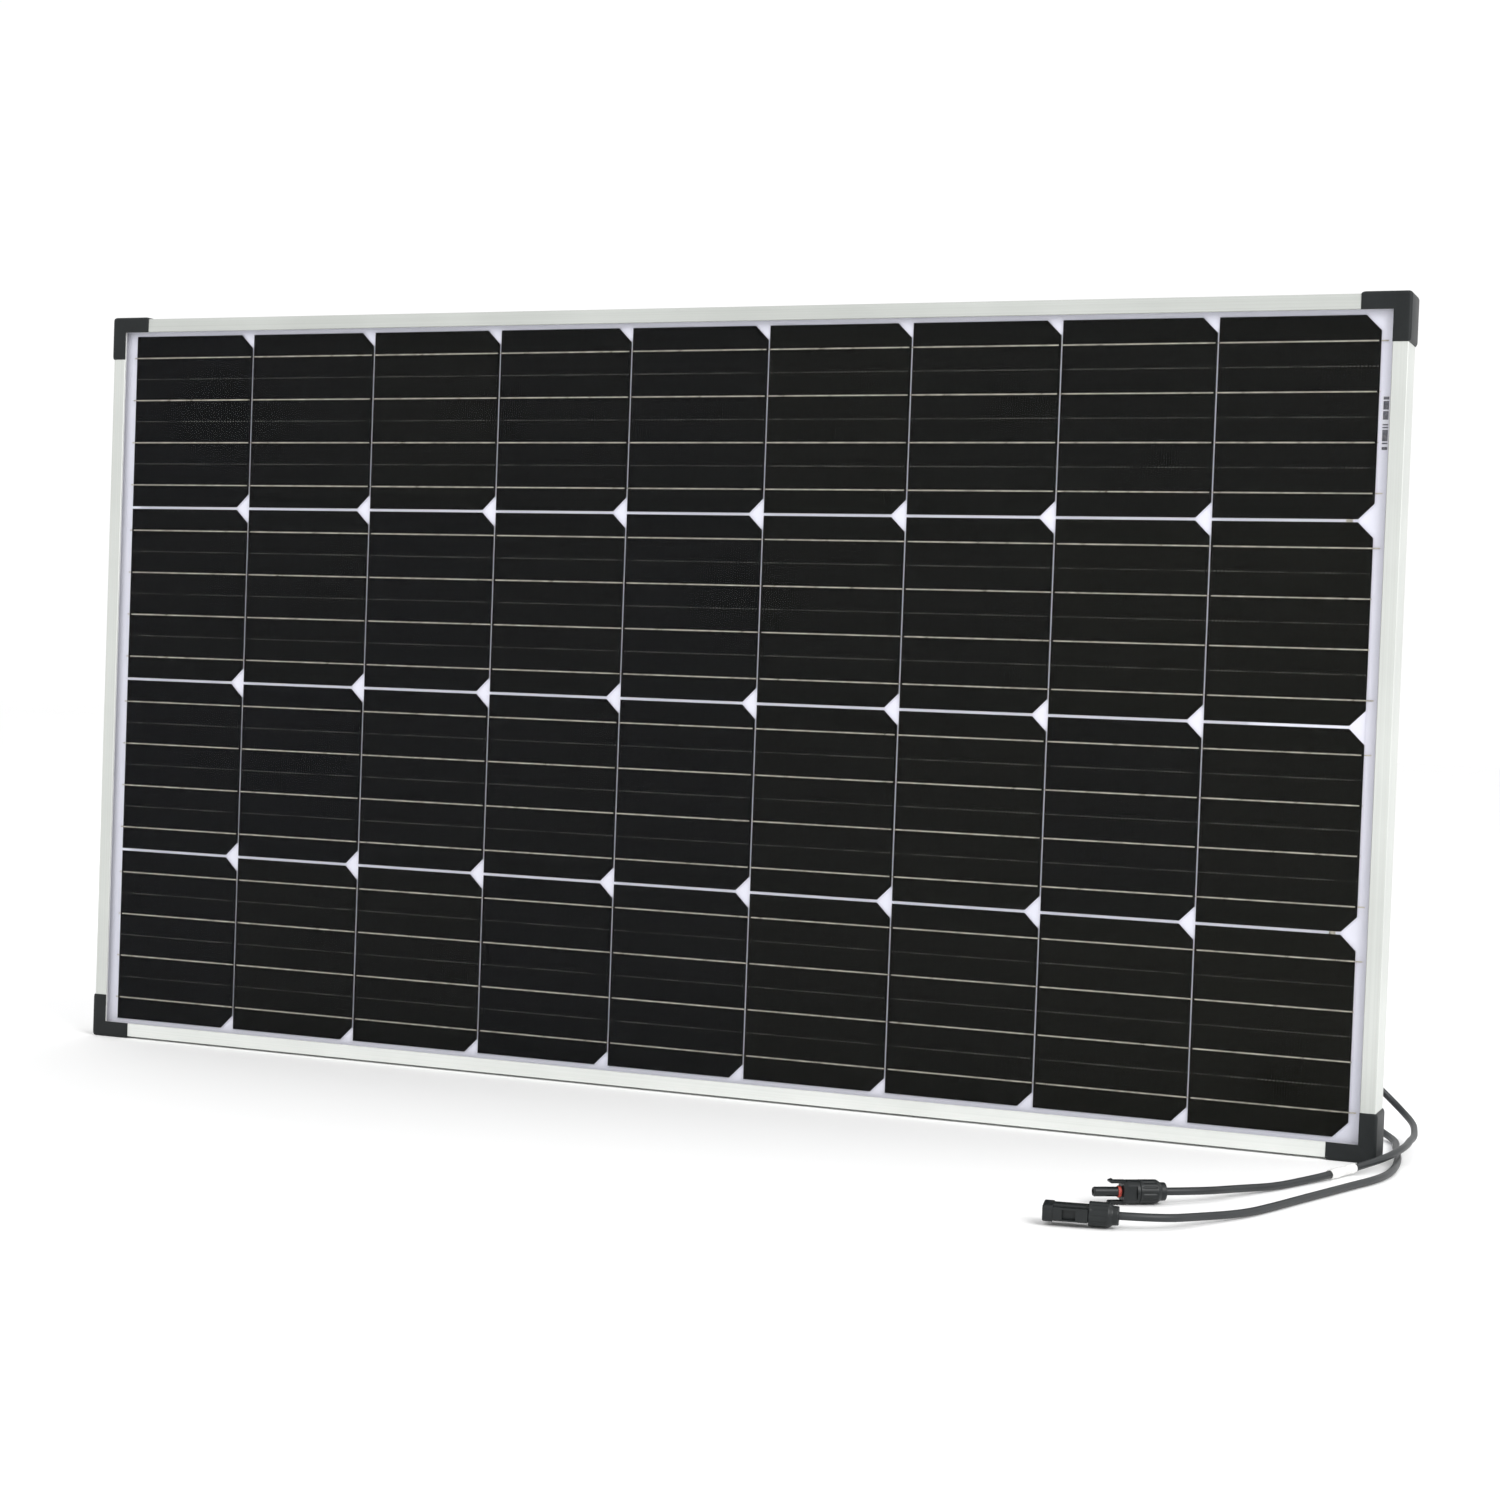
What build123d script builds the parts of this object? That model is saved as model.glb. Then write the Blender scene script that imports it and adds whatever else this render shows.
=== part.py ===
from build123d import *

import os
from math import atan2, cos, degrees, hypot, pi, radians, sin, tan

# A framed solar panel: 36 cut cells behind glass, a junction box and two leads with connectors.
# Millimetres. X runs along the panel, Y from the glass to the back, Z up. The panel stands on a
# long edge, and the origin is the middle of its base, on the floor.

# ---------------------------------------------------------------- driving dimensions

# Frame: four mitred aluminium bars
frame_width = 1180.0
frame_height = 665.0
frame_depth = 35.0
outer_wall = 1.8
lip_width = 12.0
lip_thickness = 1.5
shelf_thickness = 1.5
chamber_width = 12.0
chamber_wall = 1.5
flange_width = 28.0
flange_thickness = 1.8
frame_edge = 0.5

# Holes in the frame's rear flange
mount_slot_length = 14.0
mount_slot_width = 9.0
mount_slot_x = 390.0
ground_hole_radius = 2.1
ground_hole_z = 110.0
flange_hole_inset = 20.5
drain_hole_radius = 2.0
drain_hole_from_end = 75.0
drain_hole_inset = 6.0

# Corner keys and corner caps
key_leg = 45.0
key_clearance = 0.1
cap_wall = 1.8
cap_face = 1.2
cap_leg = 37.0
cap_band = 12.2
cap_corner = 1.5
cap_edge = 0.4

# Laminate, from the front
laminate_edge_gap = 1.2
seal_front = 0.6
glass_thickness = 3.2
encapsulant_thickness = 0.4
ribbon_thickness = 0.2
cell_thickness = 0.2
bus_thickness = 0.25
backsheet_thickness = 0.35
seal_rear = 0.5
glass_edge = 0.4

# Cells and ribbons
cell_columns = 9
cell_rows = 4
cell_width = 125.4
cell_height = 156.75
cell_corner = 12.0
column_gap = 1.1
row_gap = 2.3
ribbon_width = 1.0
ribbon_pitch = 39.0
ribbon_count = 4
ribbon_leg = 0.3
ribbon_front_start = 2.0
ribbon_rear_end = 12.0
right_stubs = (5.5, 0.7, 0.7, 5.5)
left_stubs = (2.5, 2.5, 2.5, 2.5)
bus_width = 5.0
bus_inset = 2.0
bus_overhang = 4.0
lead_step = 14.0

# Labels
serial_width = 6.0
serial_height = 41.0
serial_from_lip = 3.8
serial_rise = 234.0
label_thickness = 0.1
rating_width = 110.0
rating_height = 70.0
rating_x = -330.0
rating_thickness = 0.2

# Junction box
box_x = 490.0
box_width = 96.0
box_height = 110.0
box_depth = 18.0
box_wall = 2.2
box_floor = 2.2
box_corner = 4.0
adhesive_thickness = 1.0
adhesive_inset = 4.0
ledge_width = 2.8
ledge_drop = 3.0
gasket_width = 2.2
gasket_thickness = 1.8
lid_thickness = 3.0
lid_gap = 0.2
tongue_width = 1.6
tongue_depth = 1.2
tongue_clearance = 0.3
tab_width = 18.0
tab_thickness = 1.6
tab_drop = 7.0
tab_clearance = 0.4
hinge_offset = 3.4
knuckle_radius = 3.0
knuckle_length = 22.0
ear_length = 4.0
ear_gap = 0.3
ear_drop = 9.0
hinge_pin_radius = 1.2
hinge_pin_clearance = 0.08

# Inside the junction box
terminal_pitch = 24.0
terminal_width = 8.0
terminal_length = 30.0
terminal_height = 10.0
terminal_screw_radius = 2.5
terminal_screw_head = 1.4
slot_from_center = 34.0
slot_width = 8.0
slot_overhang = 5.0
lead_tab_width = 5.0
diode_radius = 3.0
diode_length = 9.0
diode_lead_radius = 0.6
core_radius = 1.3

# Cable and glands
cable_radius = 2.75
cable_clearance = 0.3
cable_past_wall = 1.8
gland_rise = 9.2
spigot_radius = 7.0
spigot_length = 12.0
thread_clearance = 0.15
box_nut_radius = 9.2
box_nut_length = 15.0
box_nut_gap = 2.0
nut_end_wall = 2.0
nut_rib_count = 12
nut_rib_depth = 0.6
nut_rib_width = 1.4
nut_rib_margin = 1.5
box_nut_taper = 4.0
box_nut_nose = 7.9
seal_clearance = 0.25

# Connectors, measured along their axis from the cable's end
connector_nut_radius = 8.4
connector_nut_end = 20.0
connector_nut_gap = 0.2
connector_nut_seat = 1.3
connector_collar_radius = 6.5
connector_collar_length = 4.0
connector_taper_length = 2.5
connector_spigot_radius = 6.2
connector_spigot_start = 9.0
cable_in_connector = 17.0
axis_height = 9.0
crimp_radius = 2.2
crimp_length = 9.0
contact_gap = 0.05

plug_body_radius = 8.3
plug_body_end = 31.5
plug_shoulder_length = 3.0
plug_shoulder_drop = 1.0
plug_flat_depth = 1.6
plug_flat_margin = 2.0
plug_tip = 52.0
probe_taper_length = 1.0
probe_taper_drop = 0.5
probe_radius = 3.4
probe_bore = 2.3
plug_contact_radius = 1.9
plug_contact_bore = 1.2
plug_contact_depth = 15.0
plug_contact_recess = 2.0
seal_ring_radius = 4.2
seal_ring_section = 2.4
seal_groove = 0.5
seal_groove_start = 0.6
seal_ring_gap = 0.02
seal_ring_rounding = 0.9
arm_radius = 7.1
arm_thickness = 1.8
arm_width = 6.0
arm_reach = 9.5
arm_root = 2.2
arm_hook = 0.9
arm_hook_length = 3.0
arm_hook_slope = 0.4
arm_tip_slope = 1.0
arm_clearance = 0.45

socket_barrel_radius = 5.8
socket_rail_width = 17.4
socket_rail_height = 9.2
socket_rail_edge = 1.0
socket_barrel_end = 43.4
socket_tip = 50.0
socket_block_width = 18.4
socket_block_height = 11.2
socket_block_corner = 3.0
socket_mouth_edge = 0.6
socket_bore = 3.9
socket_bore_depth = 23.5
socket_pin_radius = 1.5
socket_pin_recess = 3.5
socket_pin_taper = 2.0
socket_slot_width = 6.8
socket_slot_height = 2.6
socket_window_start = 28.0
socket_window_length = 9.0
socket_roll = 86.0

# Sleeve label on the lead with the plug
sleeve_wall = 0.8
sleeve_length = 36.0

# How far a cut runs past what it cuts
overcut = 1.0

# ---------------------------------------------------------------- places worked out

front_y = -frame_depth / 2
rear_y = frame_depth / 2
center_z = cap_wall + frame_height / 2
lip_back_y = front_y + lip_thickness
glass_front_y = lip_back_y + seal_front
glass_back_y = glass_front_y + glass_thickness
front_ribbon_y = glass_back_y + encapsulant_thickness
cell_y = front_ribbon_y + ribbon_thickness
rear_ribbon_y = cell_y + cell_thickness
bus_y = rear_ribbon_y + ribbon_thickness
rear_sheet_y = bus_y + bus_thickness
backsheet_y = rear_sheet_y + encapsulant_thickness
laminate_back_y = backsheet_y + backsheet_thickness
shelf_y = laminate_back_y + seal_rear
chamber_front_y = shelf_y + shelf_thickness
chamber_rear_y = rear_y - flange_thickness
laminate_inset = outer_wall + laminate_edge_gap

column_pitch = cell_width + column_gap
row_pitch = cell_height + row_gap
grid_half = (cell_columns * cell_width + (cell_columns - 1) * column_gap) / 2
ribbon_offsets = [((ribbon_count - 1) / 2 - i) * ribbon_pitch for i in range(ribbon_count)]
row_z = [center_z + ((cell_rows - 1) / 2 - row) * row_pitch for row in range(cell_rows)]
cell_left = [-grid_half + column * column_pitch for column in range(cell_columns)]

box_back_y = laminate_back_y + adhesive_thickness
box_top_y = box_back_y + box_depth
box_left = box_x - box_width / 2
box_right = box_x + box_width / 2
gland_y = box_back_y + gland_rise
gland_z = {"positive": center_z + terminal_pitch, "negative": center_z - terminal_pitch}
slot_x = box_x + slot_from_center
terminal_z = [center_z + terminal_pitch, center_z, center_z - terminal_pitch]
terminal_right = slot_x - bus_thickness / 2
terminal_left = terminal_right - terminal_length
hinge_x = box_right + hinge_offset
hinge_y = box_top_y + lid_gap + lid_thickness / 2
cable_hole = cable_radius + cable_clearance

# The leads' routes: out of the gland, down behind the panel, round its right-hand end and out in
# front of it. The plug's lead crosses over the other beside the corner.
plug_rear = (484.9, -263.4, axis_height)
plug_turn = degrees(atan2(-28.5, -44.2))
socket_rear = (478.4, -365.4, axis_height)
socket_turn = degrees(atan2(-8.0, -47.0))
straight_entry = 25.0
route_start_x = box_left + box_wall + cable_past_wall


def along(point, turn, distance):
    """The point that lies a distance from another, along a level direction."""
    x, y, z = point
    return (x + distance * cos(radians(turn)), y + distance * sin(radians(turn)), z)


positive_route = [
    (route_start_x, gland_y, gland_z["positive"]),
    (404, gland_y, gland_z["positive"]),
    (367, 3, 348),
    (345, 10, 318),
    (345, 20, 281),
    (363, 32, 248),
    (391, 46, 219),
    (418, 58, 191),
    (446, 73, 164),
    (473, 86, 135),
    (501, 101, 107),
    (529, 113, 78),
    (555, 125, 52),
    (577, 131, 32),
    (592, 124, 20),
    (602, 107, 14.5),
    (606, 84, 12),
    (609, 60, 11.5),
    (609, 37, 12),
    (610, 17, 12),
    (609, -6, 12),
    (603, -31, 9.5),
    (589, -60, 6),
    (571, -104, 4),
    (557, -136, 3.2),
    (543, -170, 3.2),
    (525, -204, 5.5),
    along(plug_rear, plug_turn, -straight_entry),
    along(plug_rear, plug_turn, cable_in_connector),
]
negative_route = [
    (route_start_x, gland_y, gland_z["negative"]),
    (408, gland_y, gland_z["negative"]),
    (376, 4, 298),
    (359, 11, 268),
    (364, 21, 236),
    (384, 34, 207),
    (409, 47, 178),
    (436, 63, 149),
    (463, 78, 121),
    (490, 91, 91),
    (516, 100, 61),
    (541, 109, 33),
    (563, 113, 13),
    (583, 102, 4),
    (593, 79, 3.2),
    (596, 54, 3.2),
    (601, 28, 3.2),
    (606, 0, 3.2),
    (609, -30, 3.2),
    (610, -64, 3.2),
    (605, -97, 3.2),
    (593, -132, 3.2),
    (581, -170, 3.2),
    (569, -207, 3.2),
    (558, -243, 3.2),
    (545, -281, 3.4),
    (525, -318, 5.5),
    along(socket_rear, socket_turn, -straight_entry),
    along(socket_rear, socket_turn, cable_in_connector),
]
sleeve_run = (22, 23)

# ---------------------------------------------------------------- helpers


def block(low, high):
    """A box from its lowest corner to its highest."""
    size = [b - a for a, b in zip(low, high)]
    middle = [(a + b) / 2 for a, b in zip(low, high)]
    return Pos(*middle) * Box(*size)


def prism_y(points, y_start, y_end):
    """A prism along Y on an outline given as (x, z) points."""
    face = make_face(Polyline(*[(x, y_start, z) for x, z in points], close=True))
    return extrude(face, amount=y_end - y_start, dir=(0, 1, 0))


def sheet(inset, y_start, y_end):
    """A plate that stops at an inset from the frame's outside on all four sides."""
    half_x = frame_width / 2 - inset
    half_z = frame_height / 2 - inset
    return block((-half_x, y_start, center_z - half_z), (half_x, y_end, center_z + half_z))


def box_ring(inset_out, inset_in, y_start, y_end):
    """A rectangular ring inside the junction box's outline."""
    outer = block(
        (box_left + inset_out, y_start, center_z - box_height / 2 + inset_out),
        (box_right - inset_out, y_end, center_z + box_height / 2 - inset_out),
    )
    inner = block(
        (box_left + inset_in, y_start - 1, center_z - box_height / 2 + inset_in),
        (box_right - inset_in, y_end + 1, center_z + box_height / 2 - inset_in),
    )
    return outer - inner


def stack(*sections):
    """Round sections along Z, each given as start, end and radius, or start, end and two radii."""
    body = None
    for section in sections:
        start, end = section[0], section[1]
        if len(section) == 3:
            piece = Cylinder(section[2], end - start)
        else:
            piece = Cone(section[2], section[3], end - start)
        piece = Pos(0, 0, (start + end) / 2) * piece
        body = piece if body is None else body + piece
    return body


def write(name, *shapes):
    """Writes one node, with every solid of the shapes given."""
    solids = [solid for shape in shapes for solid in shape.solids()]
    node = solids[0] if len(solids) == 1 else Compound(children=solids)
    export_step(node, f"parts/{name}.step")


# ---------------------------------------------------------------- frame


def frame_bar(length, holes):
    """One bar lying along X with its outside at Z = 0, mitred at both ends."""
    edge = frame_edge
    profile = [
        (front_y + edge, 0),
        (rear_y - edge, 0),
        (rear_y, edge),
        (rear_y, flange_width),
        (chamber_rear_y, flange_width),
        (chamber_rear_y, chamber_width),
        (shelf_y, chamber_width),
        (shelf_y, outer_wall),
        (lip_back_y, outer_wall),
        (lip_back_y, lip_width),
        (front_y + edge, lip_width),
        (front_y, lip_width - edge),
        (front_y, edge),
    ]
    half = length / 2
    face = make_face(Polyline(*[(-half, y, z) for y, z in profile], close=True))
    bar = extrude(face, amount=length, dir=(1, 0, 0))
    bar -= block(
        (-half - 1, chamber_front_y, outer_wall),
        (half + 1, chamber_rear_y, chamber_width - chamber_wall),
    )
    for cut in holes:
        bar -= cut
    mitre = [
        (-half, 0),
        (half, 0),
        (half - flange_width, flange_width),
        (flange_width - half, flange_width),
    ]
    return bar & prism_y(mitre, front_y - 1, rear_y + 1)


def flange_hole(x, inset, radius):
    """A round cut through the rear wall of a bar."""
    return Pos(x, rear_y, inset) * Rot(90, 0, 0) * Cylinder(radius, 4 * flange_thickness)


def flange_slot(x, inset):
    """A mounting slot through the rear flange, along the bar."""
    outline = SlotOverall(mount_slot_length, mount_slot_width)
    cutter = extrude(outline, amount=2 * flange_thickness, both=True)
    return Pos(x, rear_y, inset) * Rot(90, 0, 0) * cutter


def make_frame():
    """The four bars, each turned so that its flange points inwards."""
    drain_x = frame_width / 2 - drain_hole_from_end
    long_holes = [flange_slot(side * mount_slot_x, flange_hole_inset) for side in (-1, 1)]
    long_holes += [flange_hole(side * drain_x, drain_hole_inset, drain_hole_radius) for side in (-1, 1)]
    short_holes = [
        flange_hole(side * ground_hole_z, flange_hole_inset, ground_hole_radius) for side in (-1, 1)
    ]
    long_bar = frame_bar(frame_width, long_holes)
    short_bar = frame_bar(frame_height, short_holes)
    write("frame_bar_bottom", Pos(0, 0, cap_wall) * long_bar)
    write("frame_bar_top", Pos(0, 0, cap_wall + frame_height) * Rot(0, 180, 0) * long_bar)
    write("frame_bar_left", Pos(-frame_width / 2, 0, center_z) * Rot(0, 90, 0) * short_bar)
    write("frame_bar_right", Pos(frame_width / 2, 0, center_z) * Rot(0, -90, 0) * short_bar)


def corner_points(points, side_x, side_z):
    """Points given inwards from a corner of the frame, placed at that corner."""
    return [
        (side_x * (frame_width / 2 - a), center_z + side_z * (frame_height / 2 - b)) for a, b in points
    ]


def corner_key(side_x, side_z):
    """The angle that joins two bars inside their chambers."""
    outer = outer_wall + key_clearance
    inner = chamber_width - chamber_wall - key_clearance
    taper = 1.0
    points = [
        (outer, outer),
        (key_leg - taper, outer),
        (key_leg, outer + taper),
        (key_leg, inner - taper),
        (key_leg - taper, inner),
        (inner, inner),
        (inner, key_leg - taper),
        (inner - taper, key_leg),
        (outer + taper, key_leg),
        (outer, key_leg - taper),
    ]
    placed = corner_points(points, side_x, side_z)
    return prism_y(placed, chamber_front_y + key_clearance, chamber_rear_y - key_clearance)


def corner_cap(side_x, side_z):
    """The moulded cap that wraps a corner: front and rear L plates and two outer walls."""
    out, leg, band, cut = -cap_wall, cap_leg, cap_band, cap_corner
    points = [
        (out + cut, out),
        (leg, out),
        (leg, band - cut),
        (leg - cut, band),
        (band, band),
        (band, leg - cut),
        (band - cut, leg),
        (out, leg),
        (out, out + cut),
    ]
    outside = prism_y(corner_points(points, side_x, side_z), front_y - cap_face, rear_y + cap_face)
    outside = chamfer(outside.faces().sort_by(Axis.Y)[0].edges(), cap_edge)
    outside = chamfer(outside.faces().sort_by(Axis.Y)[-1].edges(), cap_edge)
    reach = leg + 1
    inside = [(0, 0), (reach, 0), (reach, reach), (0, reach)]
    return outside - prism_y(corner_points(inside, side_x, side_z), front_y, rear_y)


def make_corners():
    """A key and a cap at each corner."""
    for side_z, level in ((1, "top"), (-1, "bottom")):
        for side_x, side in ((-1, "left"), (1, "right")):
            write(f"corner_key_{level}_{side}", corner_key(side_x, side_z))
            write(f"corner_cap_{level}_{side}", corner_cap(side_x, side_z))


# ---------------------------------------------------------------- laminate


def cable_slot(y_start, y_end):
    """The slot that the lead tabs pass through into the junction box."""
    half = terminal_pitch + slot_overhang
    return block(
        (slot_x - slot_width / 2, y_start - 1, center_z - half),
        (slot_x + slot_width / 2, y_end + 1, center_z + half),
    )


def make_sheets():
    """Glass, encapsulant and backsheet, and the seal round their edge."""
    glass = sheet(laminate_inset, glass_front_y, glass_back_y)
    glass = chamfer(glass.edges(), glass_edge)
    write("front_glass", glass)
    write("front_encapsulant", sheet(laminate_inset, glass_back_y, front_ribbon_y))
    rear = sheet(laminate_inset, rear_sheet_y, backsheet_y)
    write("rear_encapsulant", rear - cable_slot(rear_sheet_y, backsheet_y))
    back = sheet(laminate_inset, backsheet_y, laminate_back_y)
    write("backsheet", back - cable_slot(backsheet_y, laminate_back_y))
    seal = sheet(outer_wall, lip_back_y, shelf_y)
    seal -= sheet(lip_width, lip_back_y - 1, shelf_y + 1)
    seal -= sheet(laminate_inset, glass_front_y, laminate_back_y)
    write("glass_edge_seal", seal)


def cell_outline():
    """A cut cell: square corners on its left, cropped corners on its right."""
    half_x = cell_width / 2
    half_z = cell_height / 2
    return [
        (-half_x, -half_z),
        (half_x - cell_corner, -half_z),
        (half_x, cell_corner - half_z),
        (half_x, half_z - cell_corner),
        (half_x - cell_corner, half_z),
        (-half_x, half_z),
    ]


def flat_strip(points, side, z):
    """A ribbon from its (x, y) outline, mirrored in X where side is -1, centred on a height."""
    face = make_face(Polyline(*[(side * x, y, z - ribbon_width / 2) for x, y in points], close=True))
    return extrude(face, amount=ribbon_width, dir=(0, 0, 1))


def ribbon_line(side, z, start_stub, end_stub):
    """The ribbons of one line of a string, from the cell front to the next cell's back."""
    cell_right = [left + cell_width for left in cell_left]
    leg = ribbon_leg / 2
    strips = []
    first = [
        (cell_left[0] - start_stub, rear_ribbon_y),
        (cell_right[0] - ribbon_rear_end, rear_ribbon_y),
        (cell_right[0] - ribbon_rear_end, bus_y),
        (cell_left[0] - start_stub, bus_y),
    ]
    strips.append(flat_strip(first, side, z))
    for column in range(cell_columns - 1):
        front = cell_left[column] + ribbon_front_start
        gap = cell_right[column] + column_gap / 2
        back = cell_right[column + 1] - ribbon_rear_end
        link = [
            (front, front_ribbon_y),
            (gap + leg, front_ribbon_y),
            (gap + leg, rear_ribbon_y),
            (back, rear_ribbon_y),
            (back, bus_y),
            (gap - leg, bus_y),
            (gap - leg, cell_y),
            (front, cell_y),
        ]
        strips.append(flat_strip(link, side, z))
    front = cell_left[-1] + ribbon_front_start
    fold = cell_right[-1] + end_stub
    tail = cell_right[-1] - bus_inset - bus_width
    last = [
        (front, front_ribbon_y),
        (fold, front_ribbon_y),
        (fold, bus_y),
        (tail, bus_y),
        (tail, rear_ribbon_y),
        (fold - ribbon_leg, rear_ribbon_y),
        (fold - ribbon_leg, cell_y),
        (front, cell_y),
    ]
    strips.append(flat_strip(last, side, z))
    return strips


def make_strings():
    """Four strings of nine cells, each with its ribbons. Every other string runs the other way."""
    outline = prism_y(cell_outline(), cell_y, rear_ribbon_y)
    for row, z in enumerate(row_z):
        cells = [Pos(left + cell_width / 2, 0, z) * outline for left in cell_left]
        write(f"cell_string_{row + 1}", *cells)
        side = 1 if row % 2 else -1
        stubs = (left_stubs, right_stubs) if side == 1 else (right_stubs, left_stubs)
        ribbons = []
        for offset, start_stub, end_stub in zip(ribbon_offsets, *stubs):
            ribbons += ribbon_line(side, z + offset, start_stub, end_stub)
        write(f"string_ribbons_{row + 1}", *ribbons)


def bus_strip(x_start, x_end, z_start, z_end):
    """A flat strip in the layer behind the ribbons."""
    return block((x_start, bus_y, z_start), (x_end, rear_sheet_y, z_end))


def make_bus_ribbons():
    """The strips across the string ends, with the three leads into the junction box."""
    outer = grid_half - bus_inset
    inner = outer - bus_width
    reach = ribbon_offsets[0] + bus_overhang
    lead_right = inner - lead_step + bus_width
    lead_left = lead_right - bus_width
    half_tab = lead_tab_width / 2
    tab_end_y = box_back_y + terminal_height
    tabs = []
    for z in terminal_z:
        flat = bus_strip(slot_x - bus_thickness / 2, lead_right, z - half_tab, z + half_tab)
        rise = block(
            (slot_x - bus_thickness / 2, bus_y, z - half_tab),
            (slot_x + bus_thickness / 2, tab_end_y, z + half_tab),
        )
        tabs.append(flat + rise)
    top = bus_strip(inner, outer, row_z[0] - reach, row_z[0] + reach)
    top += bus_strip(lead_left, outer, row_z[0] - reach, row_z[0] - reach + bus_width)
    top += bus_strip(lead_left, lead_right, terminal_z[0] - half_tab, row_z[0] - reach + bus_width)
    middle = bus_strip(inner, outer, row_z[2] - reach, row_z[1] + reach)
    middle += bus_strip(lead_left, outer, center_z - half_tab, center_z + half_tab)
    bottom = bus_strip(inner, outer, row_z[3] - reach, row_z[3] + reach)
    bottom += bus_strip(lead_left, outer, row_z[3] + reach - bus_width, row_z[3] + reach)
    bottom += bus_strip(lead_left, lead_right, row_z[3] + reach - bus_width, terminal_z[2] + half_tab)
    left_top = bus_strip(-outer, -inner, row_z[1] - reach, row_z[0] + reach)
    left_bottom = bus_strip(-outer, -inner, row_z[3] - reach, row_z[2] + reach)
    write("bus_ribbons", top + tabs[0], middle + tabs[1], bottom + tabs[2], left_top, left_bottom)


def make_labels():
    """The bar strip behind the glass and the blank plate label on the back."""
    right = frame_width / 2 - lip_width - serial_from_lip + serial_width / 2
    middle_z = center_z + serial_rise
    serial = block(
        (right - serial_width, rear_sheet_y - label_thickness, middle_z - serial_height / 2),
        (right, rear_sheet_y, middle_z + serial_height / 2),
    )
    write("serial_label", serial)
    rating = block(
        (rating_x - rating_width / 2, laminate_back_y, center_z - rating_height / 2),
        (rating_x + rating_width / 2, laminate_back_y + rating_thickness, center_z + rating_height / 2),
    )
    write("rating_label", rating)


# ---------------------------------------------------------------- junction box


def hinge_cylinder(radius, length, z):
    """A cylinder on the lid's hinge line."""
    return Pos(hinge_x, hinge_y, z) * Cylinder(radius, length)


def make_box():
    """The tray, its pad of adhesive, its lid, gasket and hinge pin."""
    half = box_height / 2
    outer = block(
        (box_left, box_back_y, center_z - half),
        (box_right, box_top_y, center_z + half),
    )
    corners = outer.edges().filter_by(Axis.Y)
    tray = fillet(corners, box_corner)
    tray -= block(
        (box_left + box_wall, box_back_y + box_floor, center_z - half + box_wall),
        (box_right - box_wall, box_top_y + 1, center_z + half - box_wall),
    )
    tray += box_ring(box_wall, box_wall + ledge_width, box_back_y + box_floor, box_top_y - ledge_drop)
    tray -= cable_slot(box_back_y, box_back_y + box_floor)
    for z in gland_z.values():
        spigot = Pos(box_left - spigot_length / 2, gland_y, z) * Rot(0, 90, 0)
        tray += spigot * Cylinder(spigot_radius, spigot_length)
    for z in gland_z.values():
        bore_length = spigot_length + 2 * (box_wall + ledge_width) + 2
        bore = Pos(box_left - spigot_length / 2, gland_y, z) * Rot(0, 90, 0)
        tray -= bore * Cylinder(cable_hole, 2 * bore_length)
    ear_middle = knuckle_length / 2 + ear_gap + ear_length / 2
    for side in (-1, 1):
        z = center_z + side * ear_middle
        ear = block(
            (box_right - box_wall / 2, hinge_y - ear_drop, z - ear_length / 2),
            (hinge_x, box_top_y - lid_gap, z + ear_length / 2),
        )
        web = block(
            (hinge_x - knuckle_radius, hinge_y - ear_drop, z - ear_length / 2),
            (hinge_x, hinge_y, z + ear_length / 2),
        )
        tray += ear + web + hinge_cylinder(knuckle_radius, ear_length, z)
        tray -= hinge_cylinder(hinge_pin_radius, ear_length + 1, z)
    write("junction_box_base", tray)

    pad = block(
        (box_left + adhesive_inset, laminate_back_y, center_z - half + adhesive_inset),
        (box_right - adhesive_inset, box_back_y, center_z + half - adhesive_inset),
    )
    write("junction_box_adhesive", pad - cable_slot(laminate_back_y, box_back_y))

    pin_length = knuckle_length + 2 * (ear_gap + ear_length)
    write("lid_hinge_pin", hinge_cylinder(hinge_pin_radius, pin_length, center_z))

    gasket_start = box_top_y - ledge_drop
    gasket_out = box_wall + (ledge_width - gasket_width) / 2
    gasket = box_ring(gasket_out, gasket_out + gasket_width, gasket_start, gasket_start + gasket_thickness)
    write("lid_gasket", gasket)

    lid_y = box_top_y + lid_gap
    plate = block((box_left, lid_y, center_z - half), (box_right, lid_y + lid_thickness, center_z + half))
    plate = fillet(plate.edges().filter_by(Axis.Y), box_corner)
    plate = chamfer(plate.faces().sort_by(Axis.Y)[-1].edges(), lid_thickness / 3)
    tongue_out = box_wall + tongue_clearance
    lid = plate + box_ring(tongue_out, tongue_out + tongue_width, lid_y - tongue_depth, lid_y + 1)
    tab_x = box_left - tab_clearance
    lid += block(
        (tab_x - tab_thickness, lid_y - tab_drop, center_z - tab_width / 2),
        (tab_x, lid_y + lid_thickness / 2, center_z + tab_width / 2),
    )
    lid += block(
        (tab_x - tab_thickness, lid_y, center_z - tab_width / 2),
        (box_left + 1, lid_y + lid_thickness / 2, center_z + tab_width / 2),
    )
    web = block(
        (box_right - 1, lid_y, center_z - knuckle_length / 2),
        (hinge_x, lid_y + lid_thickness / 2, center_z + knuckle_length / 2),
    )
    lid += web + hinge_cylinder(knuckle_radius, knuckle_length, center_z)
    lid -= hinge_cylinder(hinge_pin_radius + hinge_pin_clearance, knuckle_length + 1, center_z)
    write("junction_box_lid", lid)


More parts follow.
